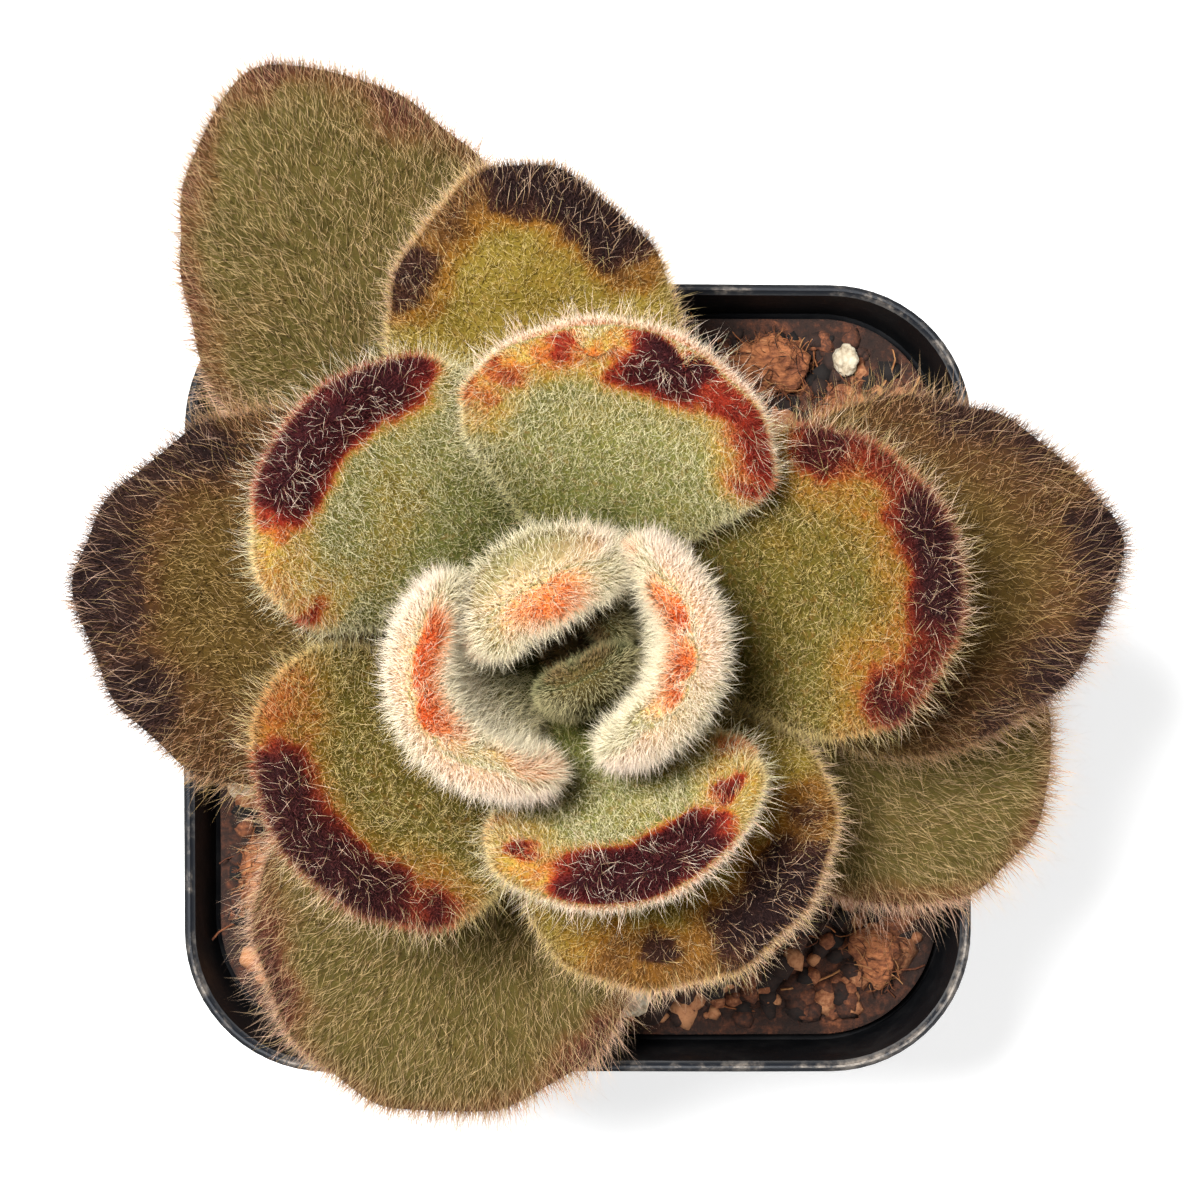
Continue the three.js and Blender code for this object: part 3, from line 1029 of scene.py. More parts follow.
@dataclass
class Leaf:
    """One leaf. Sizes are in millimetres and degrees, and mean what they mean in the model's source."""

    node: str
    order: int
    azimuth: float
    length: float
    width: float
    thick: float
    rise: float
    lift: float
    cup: float
    widest: float
    blunt: float
    coat: Coat
    marks: tuple[Mark, ...]
    teeth: tuple[float, ...] = ()
    arch: float = 1.0
    sway: float = 0.0
    point: float = 0.5
    tooth: float = 0.7
    band: float = 4.4
    halo: float = 3.4
    fringe: float = -1.2
    overhang: float = 0.5
    shoot: Shoot = field(default_factory=Shoot)

    RINGS = 84
    AROUND = 64
    EDGE_SAMPLES = 160
    SPINE_STEPS = 240
    OVERRUN = 1.06  # how far past the tip the spine runs, so that a tooth can stand out there
    TOOTH_WIDTH = 0.05  # on the marks' scale
    TOOTH_REACH = 1.6  # how far in from the edge a tooth swells the leaf, in millimetres
    RIM_REACH = 1.5  # how far in from the edge the hair is dense, in millimetres

    def half_width(self, along: np.ndarray) -> np.ndarray:
        """Half of the width at shares of the length.

        Args:
            along: shares of the length.

        Returns:
            Millimetres.
        """
        full = self.width / 2
        neck = self.shoot.neck_width / 2
        rising = neck + (full - neck) * smoothstep(along / self.widest)
        past = np.clip((along - self.widest) / (1 - self.widest), 0, 1)
        falling = full * np.clip(1 - past**self.blunt, 0, 1) ** self.point
        return np.where(along < self.widest, rising, falling)

    def half_thickness(self, along: np.ndarray) -> np.ndarray:
        """Half of the thickness at shares of the length.

        Args:
            along: shares of the length.

        Returns:
            Millimetres.
        """
        swell = smoothstep(along / self.shoot.neck_spread)
        body = (self.shoot.neck_thickness + (self.thick - self.shoot.neck_thickness) * swell) / 2
        start = 1 - self.shoot.tip_rounding * self.thick / self.length
        past = np.clip((along - start) / (1 - start), 0, 1)
        return body * np.sqrt(np.clip(1 - past * past, 0, 1))

    def spine(self) -> tuple[np.ndarray, np.ndarray, np.ndarray, np.ndarray, np.ndarray]:
        """The middle line with its directions.

        Returns:
            The shares of the length, the places in millimetres, and the ways ahead, across and up.
        """
        shares = np.linspace(0, self.OVERRUN, self.SPINE_STEPS + 1)
        middle = (shares[1:] + shares[:-1]) / 2
        ahead = self._ahead(middle)
        seat = self.shoot.soil_level + self.shoot.first_seat + self.order * self.shoot.internode
        tuck = self.shoot.neck_thickness / 2 * math.sin(math.radians(self.rise))
        out = self.shoot.radius(seat) + self.shoot.clearance + tuck
        turn = math.radians(self.azimuth)
        start = np.array([self.shoot.x + out * math.cos(turn), self.shoot.y + out * math.sin(turn), seat])
        moves = ahead * np.diff(shares)[:, None] * self.length
        places = np.vstack([start, start + np.cumsum(moves, axis=0)])
        ahead = self._ahead(shares)
        heading = np.radians(self.azimuth + self.sway * shares)
        across = np.stack([-np.sin(heading), np.cos(heading), np.zeros_like(heading)], 1)
        return shares, places, ahead, across, np.cross(ahead, across)

    def _ahead(self, shares: np.ndarray) -> np.ndarray:
        """The way ahead at shares of the length.

        Args:
            shares: shares of the length.

        Returns:
            A unit vector for each.
        """
        pitch = np.radians(self.rise + (self.lift - self.rise) * shares**self.arch)
        heading = np.radians(self.azimuth + self.sway * shares)
        level = np.cos(pitch)
        return np.stack([level * np.cos(heading), level * np.sin(heading), np.sin(pitch)], 1)

    def bent(self, along: np.ndarray, side: np.ndarray, proud: np.ndarray) -> np.ndarray:
        """Places on the leaf from its flat plan.

        Args:
            along: shares of the length.
            side: millimetres to the left of the middle line.
            proud: millimetres above the plan.

        Returns:
            Places in millimetres.
        """
        shares, places, _, across, up = self.spine()
        at = np.stack([np.interp(along, shares, places[:, k]) for k in range(3)], -1)
        left = np.stack([np.interp(along, shares, across[:, k]) for k in range(3)], -1)
        rise = np.stack([np.interp(along, shares, up[:, k]) for k in range(3)], -1)
        least = 0.03 * self.width / 2
        half = np.maximum(self.half_width(np.clip(along, 0, 1)), least)
        curl = math.radians(self.cup) * smoothstep(along / self.widest) + 1e-3
        bend = np.sqrt(self.width / 2 * half) / curl
        lean = side / bend
        sideways = (bend - proud) * np.sin(lean)
        upwards = bend - (bend - proud) * np.cos(lean)
        return at + left * sideways[..., None] + rise * upwards[..., None]

    def edge(self) -> tuple[np.ndarray, np.ndarray, np.ndarray]:
        """The flat plan's outline.

        Returns:
            Its points in millimetres, their places on the marks' scale, and their outward directions.
        """
        share = np.sin(np.linspace(0, math.pi / 2, self.EDGE_SAMPLES))
        left = np.stack([share * self.length, self.half_width(share)], 1)
        gaps = np.hypot(*np.diff(left, axis=0).T)
        run = np.concatenate([[0], np.cumsum(gaps)])
        place = 1 - run / run[-1]
        slopes = np.gradient(left, axis=0)
        outward = np.stack([-slopes[:, 1], slopes[:, 0]], 1)
        outward /= np.linalg.norm(outward, axis=1, keepdims=True) + 1e-9
        right = left * [1, -1]
        return (
            np.vstack([left, right]),
            np.concatenate([place, -place]),
            np.vstack([outward, outward * [1, -1]]),
        )

    def build(self) -> bpy.types.Object:
        """Makes the skin, with what the finish and the hair read stored at its vertices.

        Returns:
            The skin.
        """
        u = np.sin(np.linspace(0, math.pi / 2, self.RINGS)) ** 1.1
        angle = np.linspace(0, 2 * math.pi, self.AROUND, endpoint=False)
        along, around = np.meshgrid(u, angle, indexing="ij")
        least = 0.012 * self.width / 2
        side = np.maximum(self.half_width(along), least) * np.cos(around)
        lens = np.sign(np.sin(around)) * np.abs(np.sin(around)) ** self.shoot.edge_fullness
        proud = np.maximum(self.half_thickness(along), least) * lens
        plan = np.stack([along * self.length, side], -1).reshape(-1, 2)
        outline, places, outward = self.edge()
        away = np.linalg.norm(plan[:, None, :] - outline[None, :, :], axis=2)
        nearest = away.argmin(1)
        distance = away.min(1)
        place = places[nearest]
        bulge = self._teeth(place) * np.exp(-distance / self.TOOTH_REACH)
        plan = plan + outward[nearest] * bulge[:, None]
        points = self.bent(plan[:, 0] / self.length, plan[:, 1], proud.ravel())
        swell = 0.22 * ripple(points * MM, 5 * MM, self.order + 0.5)
        swell = swell + 0.07 * ripple(points * MM, 1.8 * MM, self.order)
        up = self.spine()[-1][self.SPINE_STEPS // 2]
        facing = np.sign(lens.ravel()) * np.minimum(distance / 3, 1)
        points = points + up * (swell * facing)[:, None]
        skin = new_piece(f"{self.node}_skin", points * MM, loft_faces(self.RINGS, self.AROUND),
                         skin_material_for(self.coat))
        section = np.sign(lens.ravel()) * distance + proud.ravel()
        self._store(skin.data, points, plan, distance, place, section, along.ravel())
        return skin

    def _teeth(self, place: np.ndarray) -> np.ndarray:
        """How far the edge stands out at places on the marks' scale."""
        bulges = [np.exp(-(((place - at) / self.TOOTH_WIDTH) ** 2)) for at in self.teeth]
        return self.tooth * (np.sum(bulges, axis=0) if bulges else np.zeros_like(place))

    def tint(self, place: np.ndarray, section: np.ndarray, wander: np.ndarray, fringe: float) -> np.ndarray:
        """The place on the colour scale, from the marks near by.

        Args:
            place: the nearest edge's place on the marks' scale.
            section: millimetres from the middle of the edge, over the upper face or, below 0, the lower.
            wander: noise that frays the marks, in millimetres.
            fringe: where the pale fringe begins, on the section's scale.

        Returns:
            0 for the edge's pale fringe, a little more for plain leaf, and 1 for the darkest.
        """
        total = np.zeros_like(section)
        for mark in self.marks:
            beside = np.abs(place + wander * 0.03 - mark.place) - mark.spread
            along_edge = 1 - smoothstep(beside / 0.15 + 0.42)
            inward = 1 - smoothstep((section + wander - (mark.end or self.band)) / self.halo + 0.35)
            inward = inward * smoothstep((section - mark.start) / 1.6)
            total = np.maximum(total, mark.strength * along_edge * inward)
        total = np.clip(total, 0, 1) * (1 - 0.38 * smoothstep((-section - 0.4) / 2.4))
        marked = PLAIN_TINT + (1 - PLAIN_TINT) * total
        fringed = 1 - smoothstep((section + 0.2 * wander - fringe) / 0.9 + 0.5)
        under = smoothstep((-section - 2.6) / 6.5)
        return marked * (1 - fringed) + fringed * PLAIN_TINT * under

    def _store(
        self,
        mesh: bpy.types.Mesh,
        points: np.ndarray,
        plan: np.ndarray,
        distance: np.ndarray,
        place: np.ndarray,
        section: np.ndarray,
        along: np.ndarray,
    ) -> None:
        """Stores the tint, the depth and how the hair grows.

        Args:
            mesh: the skin's mesh.
            points: its vertices, in millimetres.
            plan: the same on the flat plan.
            distance: millimetres from the nearest edge.
            place: the nearest edge's place on the marks' scale.
            section: millimetres from the middle of the edge, below 0 on the underside.
            along: shares of the length.
        """
        wander = ripple(points * MM, 1.5 * MM, self.order + 7.3)
        wander = wander + 1.3 * ripple(points * MM, 5 * MM, self.order + 2.9)
        patch = 0.12 * np.clip(ripple(points * MM, 7 * MM, self.order + 5.7), 0, 1)
        store(mesh, TINT, self.tint(place, section, wander, self.fringe) + patch)
        store(mesh, HAIR_TINT, self.tint(place, section, wander, self.fringe + self.overhang) + patch)
        store(mesh, DEPTH, along)
        shares, _, ahead, across, _ = self.spine()
        forward = np.stack([np.interp(along, shares, ahead[:, k]) for k in range(3)], -1)
        left = np.stack([np.interp(along, shares, across[:, k]) for k in range(3)], -1)
        fan = plan[:, 1] / (self.width / 2)
        sweep = ripple(points * MM, 6 * MM, self.order + 3.1)
        comb = forward + left * (0.7 * fan + 0.5 * sweep)[:, None]
        comb /= np.linalg.norm(comb, axis=1, keepdims=True)
        store(mesh, COMB, comb)
        rim = np.exp(-distance / self.RIM_REACH)
        store(mesh, REACH, np.where(along < 0.1, 0.5, 1.0 - 0.12 * rim))
        neck = smoothstep(along / 0.1) * (0.35 + 0.65 * smoothstep(along / 0.55))
        sheltered = 1 - 0.75 * smoothstep((-section - 3) / 2)
        store(mesh, THATCH, neck * sheltered * (1 + 1.4 * rim))


_SKINS: dict[Coat, bpy.types.Material] = {}


def skin_material_for(coat: Coat) -> bpy.types.Material:
    """The one skin material of a coat.

    Args:
        coat: the leaf's colouring.

    Returns:
        The material, made on first use.
    """
    if coat not in _SKINS:
        _SKINS[coat] = FELTS[coat].make_skin(f"{coat.value}_leaf_skin")
    return _SKINS[coat]


LEAVES: tuple[Leaf, ...] = (
    Leaf("lower_leaf_1", 0, 340, 40, 27, 4.4, 16, 2, 14, 0.58, 2.6, Coat.WEATHERED, arch=0.8, sway=2,
         marks=(Mark(0.17, 0.04, 0.8), Mark(-0.06, 0.04, 0.75), Mark(-0.2, 0.03, 0.6), Mark(0, 0.5, 0.48)),
         teeth=(0.17, -0.05, -0.2), band=1.2, halo=4.6, tooth=0.45, fringe=-0.4, overhang=1.5),
    Leaf("lower_leaf_2", 1, 123, 53, 31, 4.4, 15, 0, 14, 0.54, 1.8, Coat.WEATHERED, arch=0.8, sway=-8,
         point=0.56,
         marks=(Mark(-0.02, 0.05, 0.95, end=2.6), Mark(-0.22, 0.025, 1, end=3.0), Mark(0.2, 0.02, 0.95),
                Mark(0.31, 0.025, 0.9), Mark(-0.34, 0.03, 0.7), Mark(0, 0.6, 0.56)),
         teeth=(0.0, -0.22, -0.35, 0.2, 0.31, 0.43), band=1.2, halo=5.2, tooth=0.5, fringe=-0.4,
         overhang=1.5),
    Leaf("lower_leaf_3", 2, 246, 40, 34, 4.6, 12, -2, 14, 0.58, 2, Coat.WEATHERED, sway=3, point=0.55,
         marks=(Mark(-0.3, 0.1, 0.85, end=2.4), Mark(-0.13, 0.03, 0.8), Mark(0.1, 0.04, 0.6),
                Mark(0.38, 0.06, 0.9, end=2.2), Mark(0, 0.6, 0.52)),
         teeth=(-0.36, -0.18, 0.0, 0.2, 0.38), band=1.2, halo=4.8, tooth=0.45, fringe=-0.4, overhang=1.5),
    Leaf("outer_leaf_1", 3, 11, 45, 31, 4.8, 20, 12, 22, 0.58, 2, Coat.UMBER, sway=-2, point=0.62,
         marks=(Mark(0, 0.08, 1, end=5.0), Mark(-0.22, 0.04, 1, end=5.2), Mark(-0.1, 0.2, 0.72),
                Mark(0.27, 0.12, 0.72), Mark(-0.36, 0.06, 0.6), Mark(0, 0.5, 0.34, end=7)),
         teeth=(0.01, -0.22, 0.27, 0.42), band=3.4, halo=7.0, tooth=0.6, fringe=-1.8, overhang=0.9),
    Leaf("outer_leaf_2", 4, 172, 40, 33, 4.8, 20, 14, 22, 0.56, 2, Coat.UMBER, point=0.62,
         marks=(Mark(-0.3, 0.05, 1, end=5.4), Mark(0, 0.12, 1, end=6.0), Mark(0.23, 0.07, 1, end=5.2),
                Mark(-0.1, 0.26, 0.8), Mark(0, 0.5, 0.36, end=7)),
         teeth=(-0.31, -0.12, 0.03, 0.22, 0.38), band=3.8, halo=7.0, tooth=0.6, fringe=-1.8, overhang=0.9),
    Leaf("outer_leaf_3", 5, 297, 31, 28, 4.8, 28, 38, 26, 0.6, 2.3, Coat.GOLDEN, sway=2,
         marks=(Mark(0.13, 0.16, 1, end=6.6), Mark(-0.17, 0.03, 1, start=1.5, end=5.2),
                Mark(0.36, 0.05, 0.55), Mark(-0.02, 0.3, 0.4)),
         teeth=(0.0, 0.16, 0.34, -0.18, -0.34), band=5.2, halo=4.2, tooth=0.6, fringe=-1.4, overhang=0.9),
    Leaf("outer_leaf_4", 6, 97, 39, 25, 4.8, 22, 24, 24, 0.6, 2, Coat.GOLDEN, point=0.6,
         marks=(Mark(-0.12, 0.18, 1, end=5.4), Mark(0.28, 0.035, 1, end=4.4), Mark(0.14, 0.1, 0.5)),
         teeth=(0.06, -0.08, -0.3, 0.28), band=4.2, halo=4.4, tooth=0.6, fringe=-1.4, overhang=0.9),
    Leaf("middle_leaf_1", 7, 218, 34, 26, 4.8, 28, 62, 32, 0.64, 2.6, Coat.AMBER,
         marks=(Mark(0.02, 0.22, 1), Mark(-0.3, 0.07, 0.36, end=3.0), Mark(0.29, 0.035, 1, end=3.0),
                Mark(0, 0.4, 0.26, end=7)),
         teeth=(-0.24, -0.04, 0.14, 0.3), band=4.8, halo=5.4, fringe=-3.6),
    Leaf("middle_leaf_2", 8, 13, 37, 26, 4.8, 24, 58, 32, 0.62, 2.3, Coat.AMBER,
         marks=(Mark(0.0, 0.14, 1, end=4.2), Mark(-0.31, 0.035, 1, end=4.2), Mark(0.32, 0.06, 0.9, end=3.6),
                Mark(0.02, 0.34, 0.6, end=2.6), Mark(0, 0.44, 0.24, end=8.0)),
         teeth=(-0.32, -0.12, 0.06, 0.24, 0.38), band=3.8, halo=5.6, fringe=-3.4),
    Leaf("middle_leaf_3", 9, 142, 35, 25, 4.8, 26, 66, 32, 0.64, 2.6, Coat.SAGE,
         marks=(Mark(-0.05, 0.21, 1, end=5.0), Mark(0.34, 0.12, 0.26, end=3.0),
                Mark(0.45, 0.025, 0.75, end=3.0), Mark(0.1, 0.4, 0.2, end=6)),
         teeth=(-0.26, -0.08, 0.1, 0.28), band=3.8, halo=5.2, fringe=-3.8),
    Leaf("middle_leaf_4", 10, 288, 29, 24, 4.8, 32, 76, 38, 0.66, 2.8, Coat.SAGE,
         marks=(Mark(0.02, 0.19, 1, end=5.4), Mark(-0.33, 0.025, 1, start=0.4, end=4.2),
                Mark(0.32, 0.03, 1, start=0.2, end=4.2), Mark(0.5, 0.04, 0.46, end=3.0),
                Mark(-0.5, 0.06, 0.26, end=3.0), Mark(0, 0.5, 0.19, end=6.0)),
         teeth=(-0.33, -0.14, 0.06, 0.22, 0.34), band=4.0, halo=4.0, fringe=-2.2),
    Leaf("middle_leaf_5", 11, 77, 32, 26, 4.8, 28, 66, 34, 0.64, 2.8, Coat.SAGE,
         marks=(Mark(-0.07, 0.1, 1, end=5.0), Mark(-0.3, 0.14, 0.6, end=2.6), Mark(-0.47, 0.04, 0.6),
                Mark(0.15, 0.04, 0.62, end=3.0), Mark(0.29, 0.03, 0.6), Mark(0.38, 0.03, 0.46),
                Mark(0, 0.5, 0.24, end=4.6)),
         teeth=(0.38, 0.26, 0.1, -0.08, -0.26, -0.44), band=3.8, halo=4.8),
    Leaf("inner_leaf_1", 12, 208, 27, 23, 4.2, 36, 96, 74, 0.64, 2.8, Coat.CREAM, arch=0.8,
         marks=(Mark(-0.11, 0.17, 0.97), Mark(0.4, 0.2, 0.44), Mark(0.56, 0.035, 0.75)),
         teeth=(-0.2, 0.0, 0.2), band=1.6, halo=3.6, fringe=-1.0, overhang=0.2),
    Leaf("inner_leaf_2", 13, 352, 25, 22, 4.2, 42, 102, 76, 0.64, 2.8, Coat.CREAM, arch=0.8,
         marks=(Mark(0.1, 0.07, 1), Mark(-0.04, 0.06, 0.95), Mark(0.48, 0.1, 0.6)),
         teeth=(-0.2, 0.0, 0.2), band=1.4, halo=3.6, fringe=-1.0, overhang=0.2),
    Leaf("inner_leaf_3", 14, 118, 22, 16, 4.2, 52, 136, 60, 0.6, 2.6, Coat.CREAM, arch=1.1,
         marks=(Mark(0, 0.1, 0.85), Mark(0.4, 0.08, 0.42)), teeth=(0.0, 0.2), band=0.2, halo=3.4,
         fringe=-3.4, overhang=0.2),
    Leaf("bud_leaf_1", 15, 296, 13, 9, 2.8, 62, 128, 50, 0.6, 2.4, Coat.BUD, arch=0.9,
         marks=(Mark(0, 0.2, 0.4),), band=1, halo=2),
    Leaf("bud_leaf_2", 16, 48, 9, 7, 2.6, 68, 124, 50, 0.6, 2.4, Coat.BUD, arch=0.9,
         marks=(Mark(0, 0.2, 0.4),), band=1, halo=2),
)

PELTS: dict[Coat, Pelt] = {
    Coat.WEATHERED: Pelt(Layer(7.5, 1.4, 0.055, 0.2, 1.5, 1.1),
                         Layer(1.6, 4.0, 0.052, 0.4, 1.9, 0.9, -0.14)),
    Coat.UMBER: Pelt(Layer(7.5, 1.3, 0.055, 0.2, 1.3, 1.0), Layer(1.7, 3.6, 0.052, 0.38, 1.5, 0.8, -0.14)),
    Coat.GOLDEN: Pelt(Layer(11.0, 1.2, 0.052, 0.2, 1.0, 0.9), Layer(1.9, 2.5, 0.048, 0.35, 1.1, 0.7, -0.16)),
    Coat.AMBER: Pelt(Layer(12.5, 1.2, 0.05, 0.2, 0.8, 0.9), Layer(1.8, 3.0, 0.048, 0.35, 0.9, 0.7, -0.16)),
    Coat.SAGE: Pelt(Layer(17.0, 1.0, 0.048, 0.2, 0.5, 0.8), Layer(1.8, 2.7, 0.046, 0.3, 0.6, 0.6, -0.16)),
    Coat.CREAM: Pelt(Layer(21.0, 1.4, 0.058, 0.2, 0.35, 0.7), Layer(5.0, 2.2, 0.052, 0.25, 0.35, 0.6, -0.1)),
    Coat.BUD: Pelt(Layer(22.0, 0.9, 0.06, 0.2, 0.5, 0.5), Layer(3.0, 1.3, 0.06, 0.2, 0.4, 0.4, 0.6)),
}

SLOTS: dict[str, str] = {
    "lower": "old_leaf_felt",
    "outer": "outer_leaf_felt",
    "middle": "middle_leaf_felt",
    "inner": "young_leaf_felt",
    "bud": "bud_felt",
}


@dataclass
class Rosette:
    """All the leaves, each a skin with its own hair."""

    leaves: tuple[Leaf, ...] = LEAVES

    def build(self) -> None:
        """Makes each leaf's skin and hair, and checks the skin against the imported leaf."""
        hair = HairTree()
        finishes = {coat: FELTS[coat].make_hair(f"{coat.value}_leaf_hair") for coat in Coat}
        for leaf in self.leaves:
            skin = leaf.build()
            self._compare(leaf, skin)
            slot = SLOTS[leaf.node.split("_")[0]]
            coat = hair.grow(
                f"{leaf.node}_hair", skin.data, PELTS[leaf.coat], finishes[leaf.coat], 100 + 10 * leaf.order
            )
            settle(skin, slot, leaf.node)
            settle(coat, slot)

    def _compare(self, leaf: Leaf, skin: bpy.types.Object) -> None:
        """Reports how far the skin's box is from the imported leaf's box.

        Args:
            leaf: the leaf.
            skin: its skin.
        """
        low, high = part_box(leaf.node)
        points = np.array([vertex.co for vertex in skin.data.vertices])
        gap = max(np.abs(points.min(0) - np.array(low)).max(), np.abs(points.max(0) - np.array(high)).max())
        LOG.info("%s lies within %.2f mm of its packed box", leaf.node, gap / MM)


# ---------------------------------------------------------------- pot


@dataclass(frozen=True)
class Tub:
    """The pot's sizes in millimetres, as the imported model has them."""

    base: float = 52.0
    top: float = 69.0
    height: float = 62.0
    base_corner: float = 9.0
    top_corner: float = 12.0
    wall: float = 0.9
    floor: float = 1.4
    collar: float = 9.0
    step: float = 0.5
    chamfer: float = 0.8
    drain: float = 6.0
    drain_offset: float = 14.0
    clearance: float = 0.3

    def outline(self, height: float, offset: float, per_corner: int = 16, per_side: int = 14) -> np.ndarray:
        """A level square with rounded corners, a little way outside the wall's outer face.

        Args:
            height: its height.
            offset: how far outside the wall it lies.
            per_corner: points round each corner.
            per_side: points between two corners.

        Returns:
            The points in millimetres, anticlockwise from above.
        """
        share = height / self.height
        half = (self.base + (self.top - self.base) * share) / 2 + offset
        corner = self.base_corner + (self.top_corner - self.base_corner) * share + offset
        flat = half - corner
        ring: list[tuple[float, float, float]] = []
        for quarter in range(4):
            turn = quarter * math.pi / 2
            middle = (flat, flat)
            for k in range(per_corner):
                angle = math.pi / 2 * k / (per_corner - 1)
                x = middle[0] + corner * math.cos(angle)
                y = middle[1] + corner * math.sin(angle)
                ring.append((x * math.cos(turn) - y * math.sin(turn),
                             x * math.sin(turn) + y * math.cos(turn), height))
            for k in range(1, per_side):
                x = flat - 2 * flat * k / per_side
                ring.append((x * math.cos(turn) - half * math.sin(turn),
                             x * math.sin(turn) + half * math.cos(turn), height))
        return np.array(ring)


def rounded(start: tuple[float, float], end: tuple[float, float], bulge: float,
            steps: int = 6) -> list[tuple[float, float]]:
    """An arc of a profile from one point to the next.

    Args:
        start, end: heights and offsets.
        bulge: the share of the chord that the arc stands to the left of it.
        steps: how many points it has.

    Returns:
        The arc's points, with both ends.
    """
    points = []
    for k in range(steps + 1):
        t = k / steps
        swell = 4 * bulge * t * (1 - t)
        high = start[0] + (end[0] - start[0]) * t - (end[1] - start[1]) * swell
        out = start[1] + (end[1] - start[1]) * t + (end[0] - start[0]) * swell
        points.append((high, out))
    return points


@dataclass(frozen=True)
class PlasticFinish:
    """Thin black plastic: fine grained, dusty, rubbed pale and with a painted sheen along the rim. Sizes are
    in millimetres.

    height: the rim's height.   grain, speck, smear, cloud: the sizes of its patterns, finest first.
    """

    height: float
    grain: float = 0.12
    speck: float = 0.7
    smear: float = 3.2
    cloud: float = 9.0
    relief: float = 0.05
    black: Colour = (0.004, 0.0044, 0.0055)
    dusty: Colour = (0.03, 0.028, 0.026)
    chalky: Colour = (0.09, 0.075, 0.06)
    # Painted sheen: a cool grey laid over the rim's top.
    painted_sheen: Colour = (0.035, 0.042, 0.055)
    worn: Colour = (0.36, 0.31, 0.26)
    specular: float = 0.22

    def build(self) -> bpy.types.Material:
        """Makes the material.

        Returns:
            The material.
        """
        material, graph, shader = new_material("pot_black_plastic")
        place = object_place(graph)
        parts = graph.node("ShaderNodeSeparateXYZ", None, Vector=place)
        height = graph.out(parts, "Z")
        grain = graph.noise(place, self.grain * MM, 2, 0.6)
        cloud = graph.noise(place, self.cloud * MM, 5, 0.6)
        smear = graph.noise(place, self.smear * MM, 6, 0.7)
        rim = graph.step(height, (self.height - 0.5) * MM, (self.height - 0.12) * MM)
        rubbed = rim * graph.step(smear + cloud * 0.5, 0.72, 0.95)
        dust = graph.step(smear * 0.7 + cloud * 0.6, 0.6, 0.95) * 0.4
        speck = graph.step(graph.noise(place, self.speck * MM, 4, 0.7), 0.64, 0.74)
        speck = speck * graph.step(cloud, 0.45, 0.7, 0.0, 0.5)
        colour = graph.blend(dust, self.black, self.dusty)
        colour = graph.blend(speck, colour, self.chalky)
        # Painted sheen over the rim's top.
        colour = graph.blend(rim * 0.4, colour, self.painted_sheen)
        colour = graph.blend(rubbed, colour, self.worn)
        feed(
            graph,
            shader,
            Base_Color=colour,
            Roughness=graph.step(smear + grain * 0.3, 0.4, 1.0, 0.42, 0.75),
            Normal=bump(graph, grain * 0.5 + smear, 0.35, self.relief * MM),
        )
        shader.inputs["Specular IOR Level"].default_value = self.specular
        return material


@dataclass
class Pot:
    """The nursery pot: a thin moulded shell with a rolled rim, a collar and drain holes."""

    tub: Tub = field(default_factory=Tub)

    def profile(self) -> list[tuple[float, float]]:
        """Heights and offsets from the foot over the rim and down to the inner floor.

        Returns:
            Pairs of a height and an offset, in millimetres.
        """
        tub = self.tub
        shoulder = tub.height - tub.collar
        inner = -tub.wall
        lip = tub.step - tub.wall
        return [
            (0.0, -tub.chamfer - 1.6),
            *rounded((0.0, -tub.chamfer), (tub.chamfer, 0.0), -0.2),
            (3.0, 0.0),
            (3.25, -0.12),
            (3.5, 0.0),
            (20.0, -0.1),
            (36.0, -0.1),
            (shoulder - 0.3, 0.0),
            *rounded((shoulder, 0.08), (shoulder + tub.step, tub.step), 0.15, 4),
            (shoulder + 1.2, tub.step),
            (tub.height - 2.2, tub.step - 0.08),
            (tub.height - 1.6, tub.step + 0.02),
            *rounded((tub.height - 0.42, tub.step + 0.06), (tub.height, tub.step - 0.36), -0.2),
            *rounded((tub.height - 0.03, lip + 0.36), (tub.height - 0.4, lip), -0.2),
            (tub.height - 1.8, lip - 0.04),
            (shoulder + 1.0, lip - 0.02),
            *rounded((shoulder + 0.5, lip), (shoulder, inner), 0.1, 3),
            (30.0, inner),
            *rounded((tub.floor + 2.0, inner), (tub.floor, inner - 2.0), 0.2, 4),
        ]

    def build(self) -> None:
        """Makes the shell and cuts its drain holes."""
        rings = [self.tub.outline(high, out) for high, out in self.profile()]
        points = np.array(rings)
        rise = points[..., 2:3] / self.tub.height
        lengthwise = ripple(points * MM, 26 * MM, 4.0).reshape(points.shape[:2])[..., None]
        points[..., :2] *= 1 - 0.004 * lengthwise * rise
        plastic = PlasticFinish(self.tub.height).build()
        shell = new_piece("pot_shell", points * MM, loft_faces(len(rings), len(rings[0])), plastic)
        for x in (-self.tub.drain_offset, self.tub.drain_offset):
            for y in (-self.tub.drain_offset, self.tub.drain_offset):
                self._drill(shell, x, y)
        shell.data.polygons.foreach_set("use_smooth", [True] * len(shell.data.polygons))
        shell.data.set_sharp_from_angle(angle=math.radians(40))
        settle(shell, "pot_plastic", "pot")

    def _drill(self, shell: bpy.types.Object, x: float, y: float) -> None:
        """Cuts one drain hole through the floor.

        Args:
            shell: the pot, which is cut.
            x, y: the hole's middle, in millimetres.
        """
        count = 32
        radius = self.tub.drain / 2
        angles = np.linspace(0, 2 * math.pi, count, endpoint=False)
        circle = np.stack([x + radius * np.cos(angles), y + radius * np.sin(angles)], 1)
        low = np.column_stack([circle, np.full(count, -2.0)])
        high = np.column_stack([circle, np.full(count, 2 * self.tub.floor)])
        bit = new_piece("drain_bit", np.array([low, high]) * MM, loft_faces(2, count), smooth=False)
        cut = shell.modifiers.new("drain", "BOOLEAN")
        cut.operation = "DIFFERENCE"
        cut.solver = "EXACT"
        cut.object = bit
        settled(shell)
        bpy.data.objects.remove(bit)


# ---------------------------------------------------------------- soil


class Litter(Enum):
    """The shapes that lie in the soil."""

    CRUMB = "crumb"
    FIBRE = "fibre"


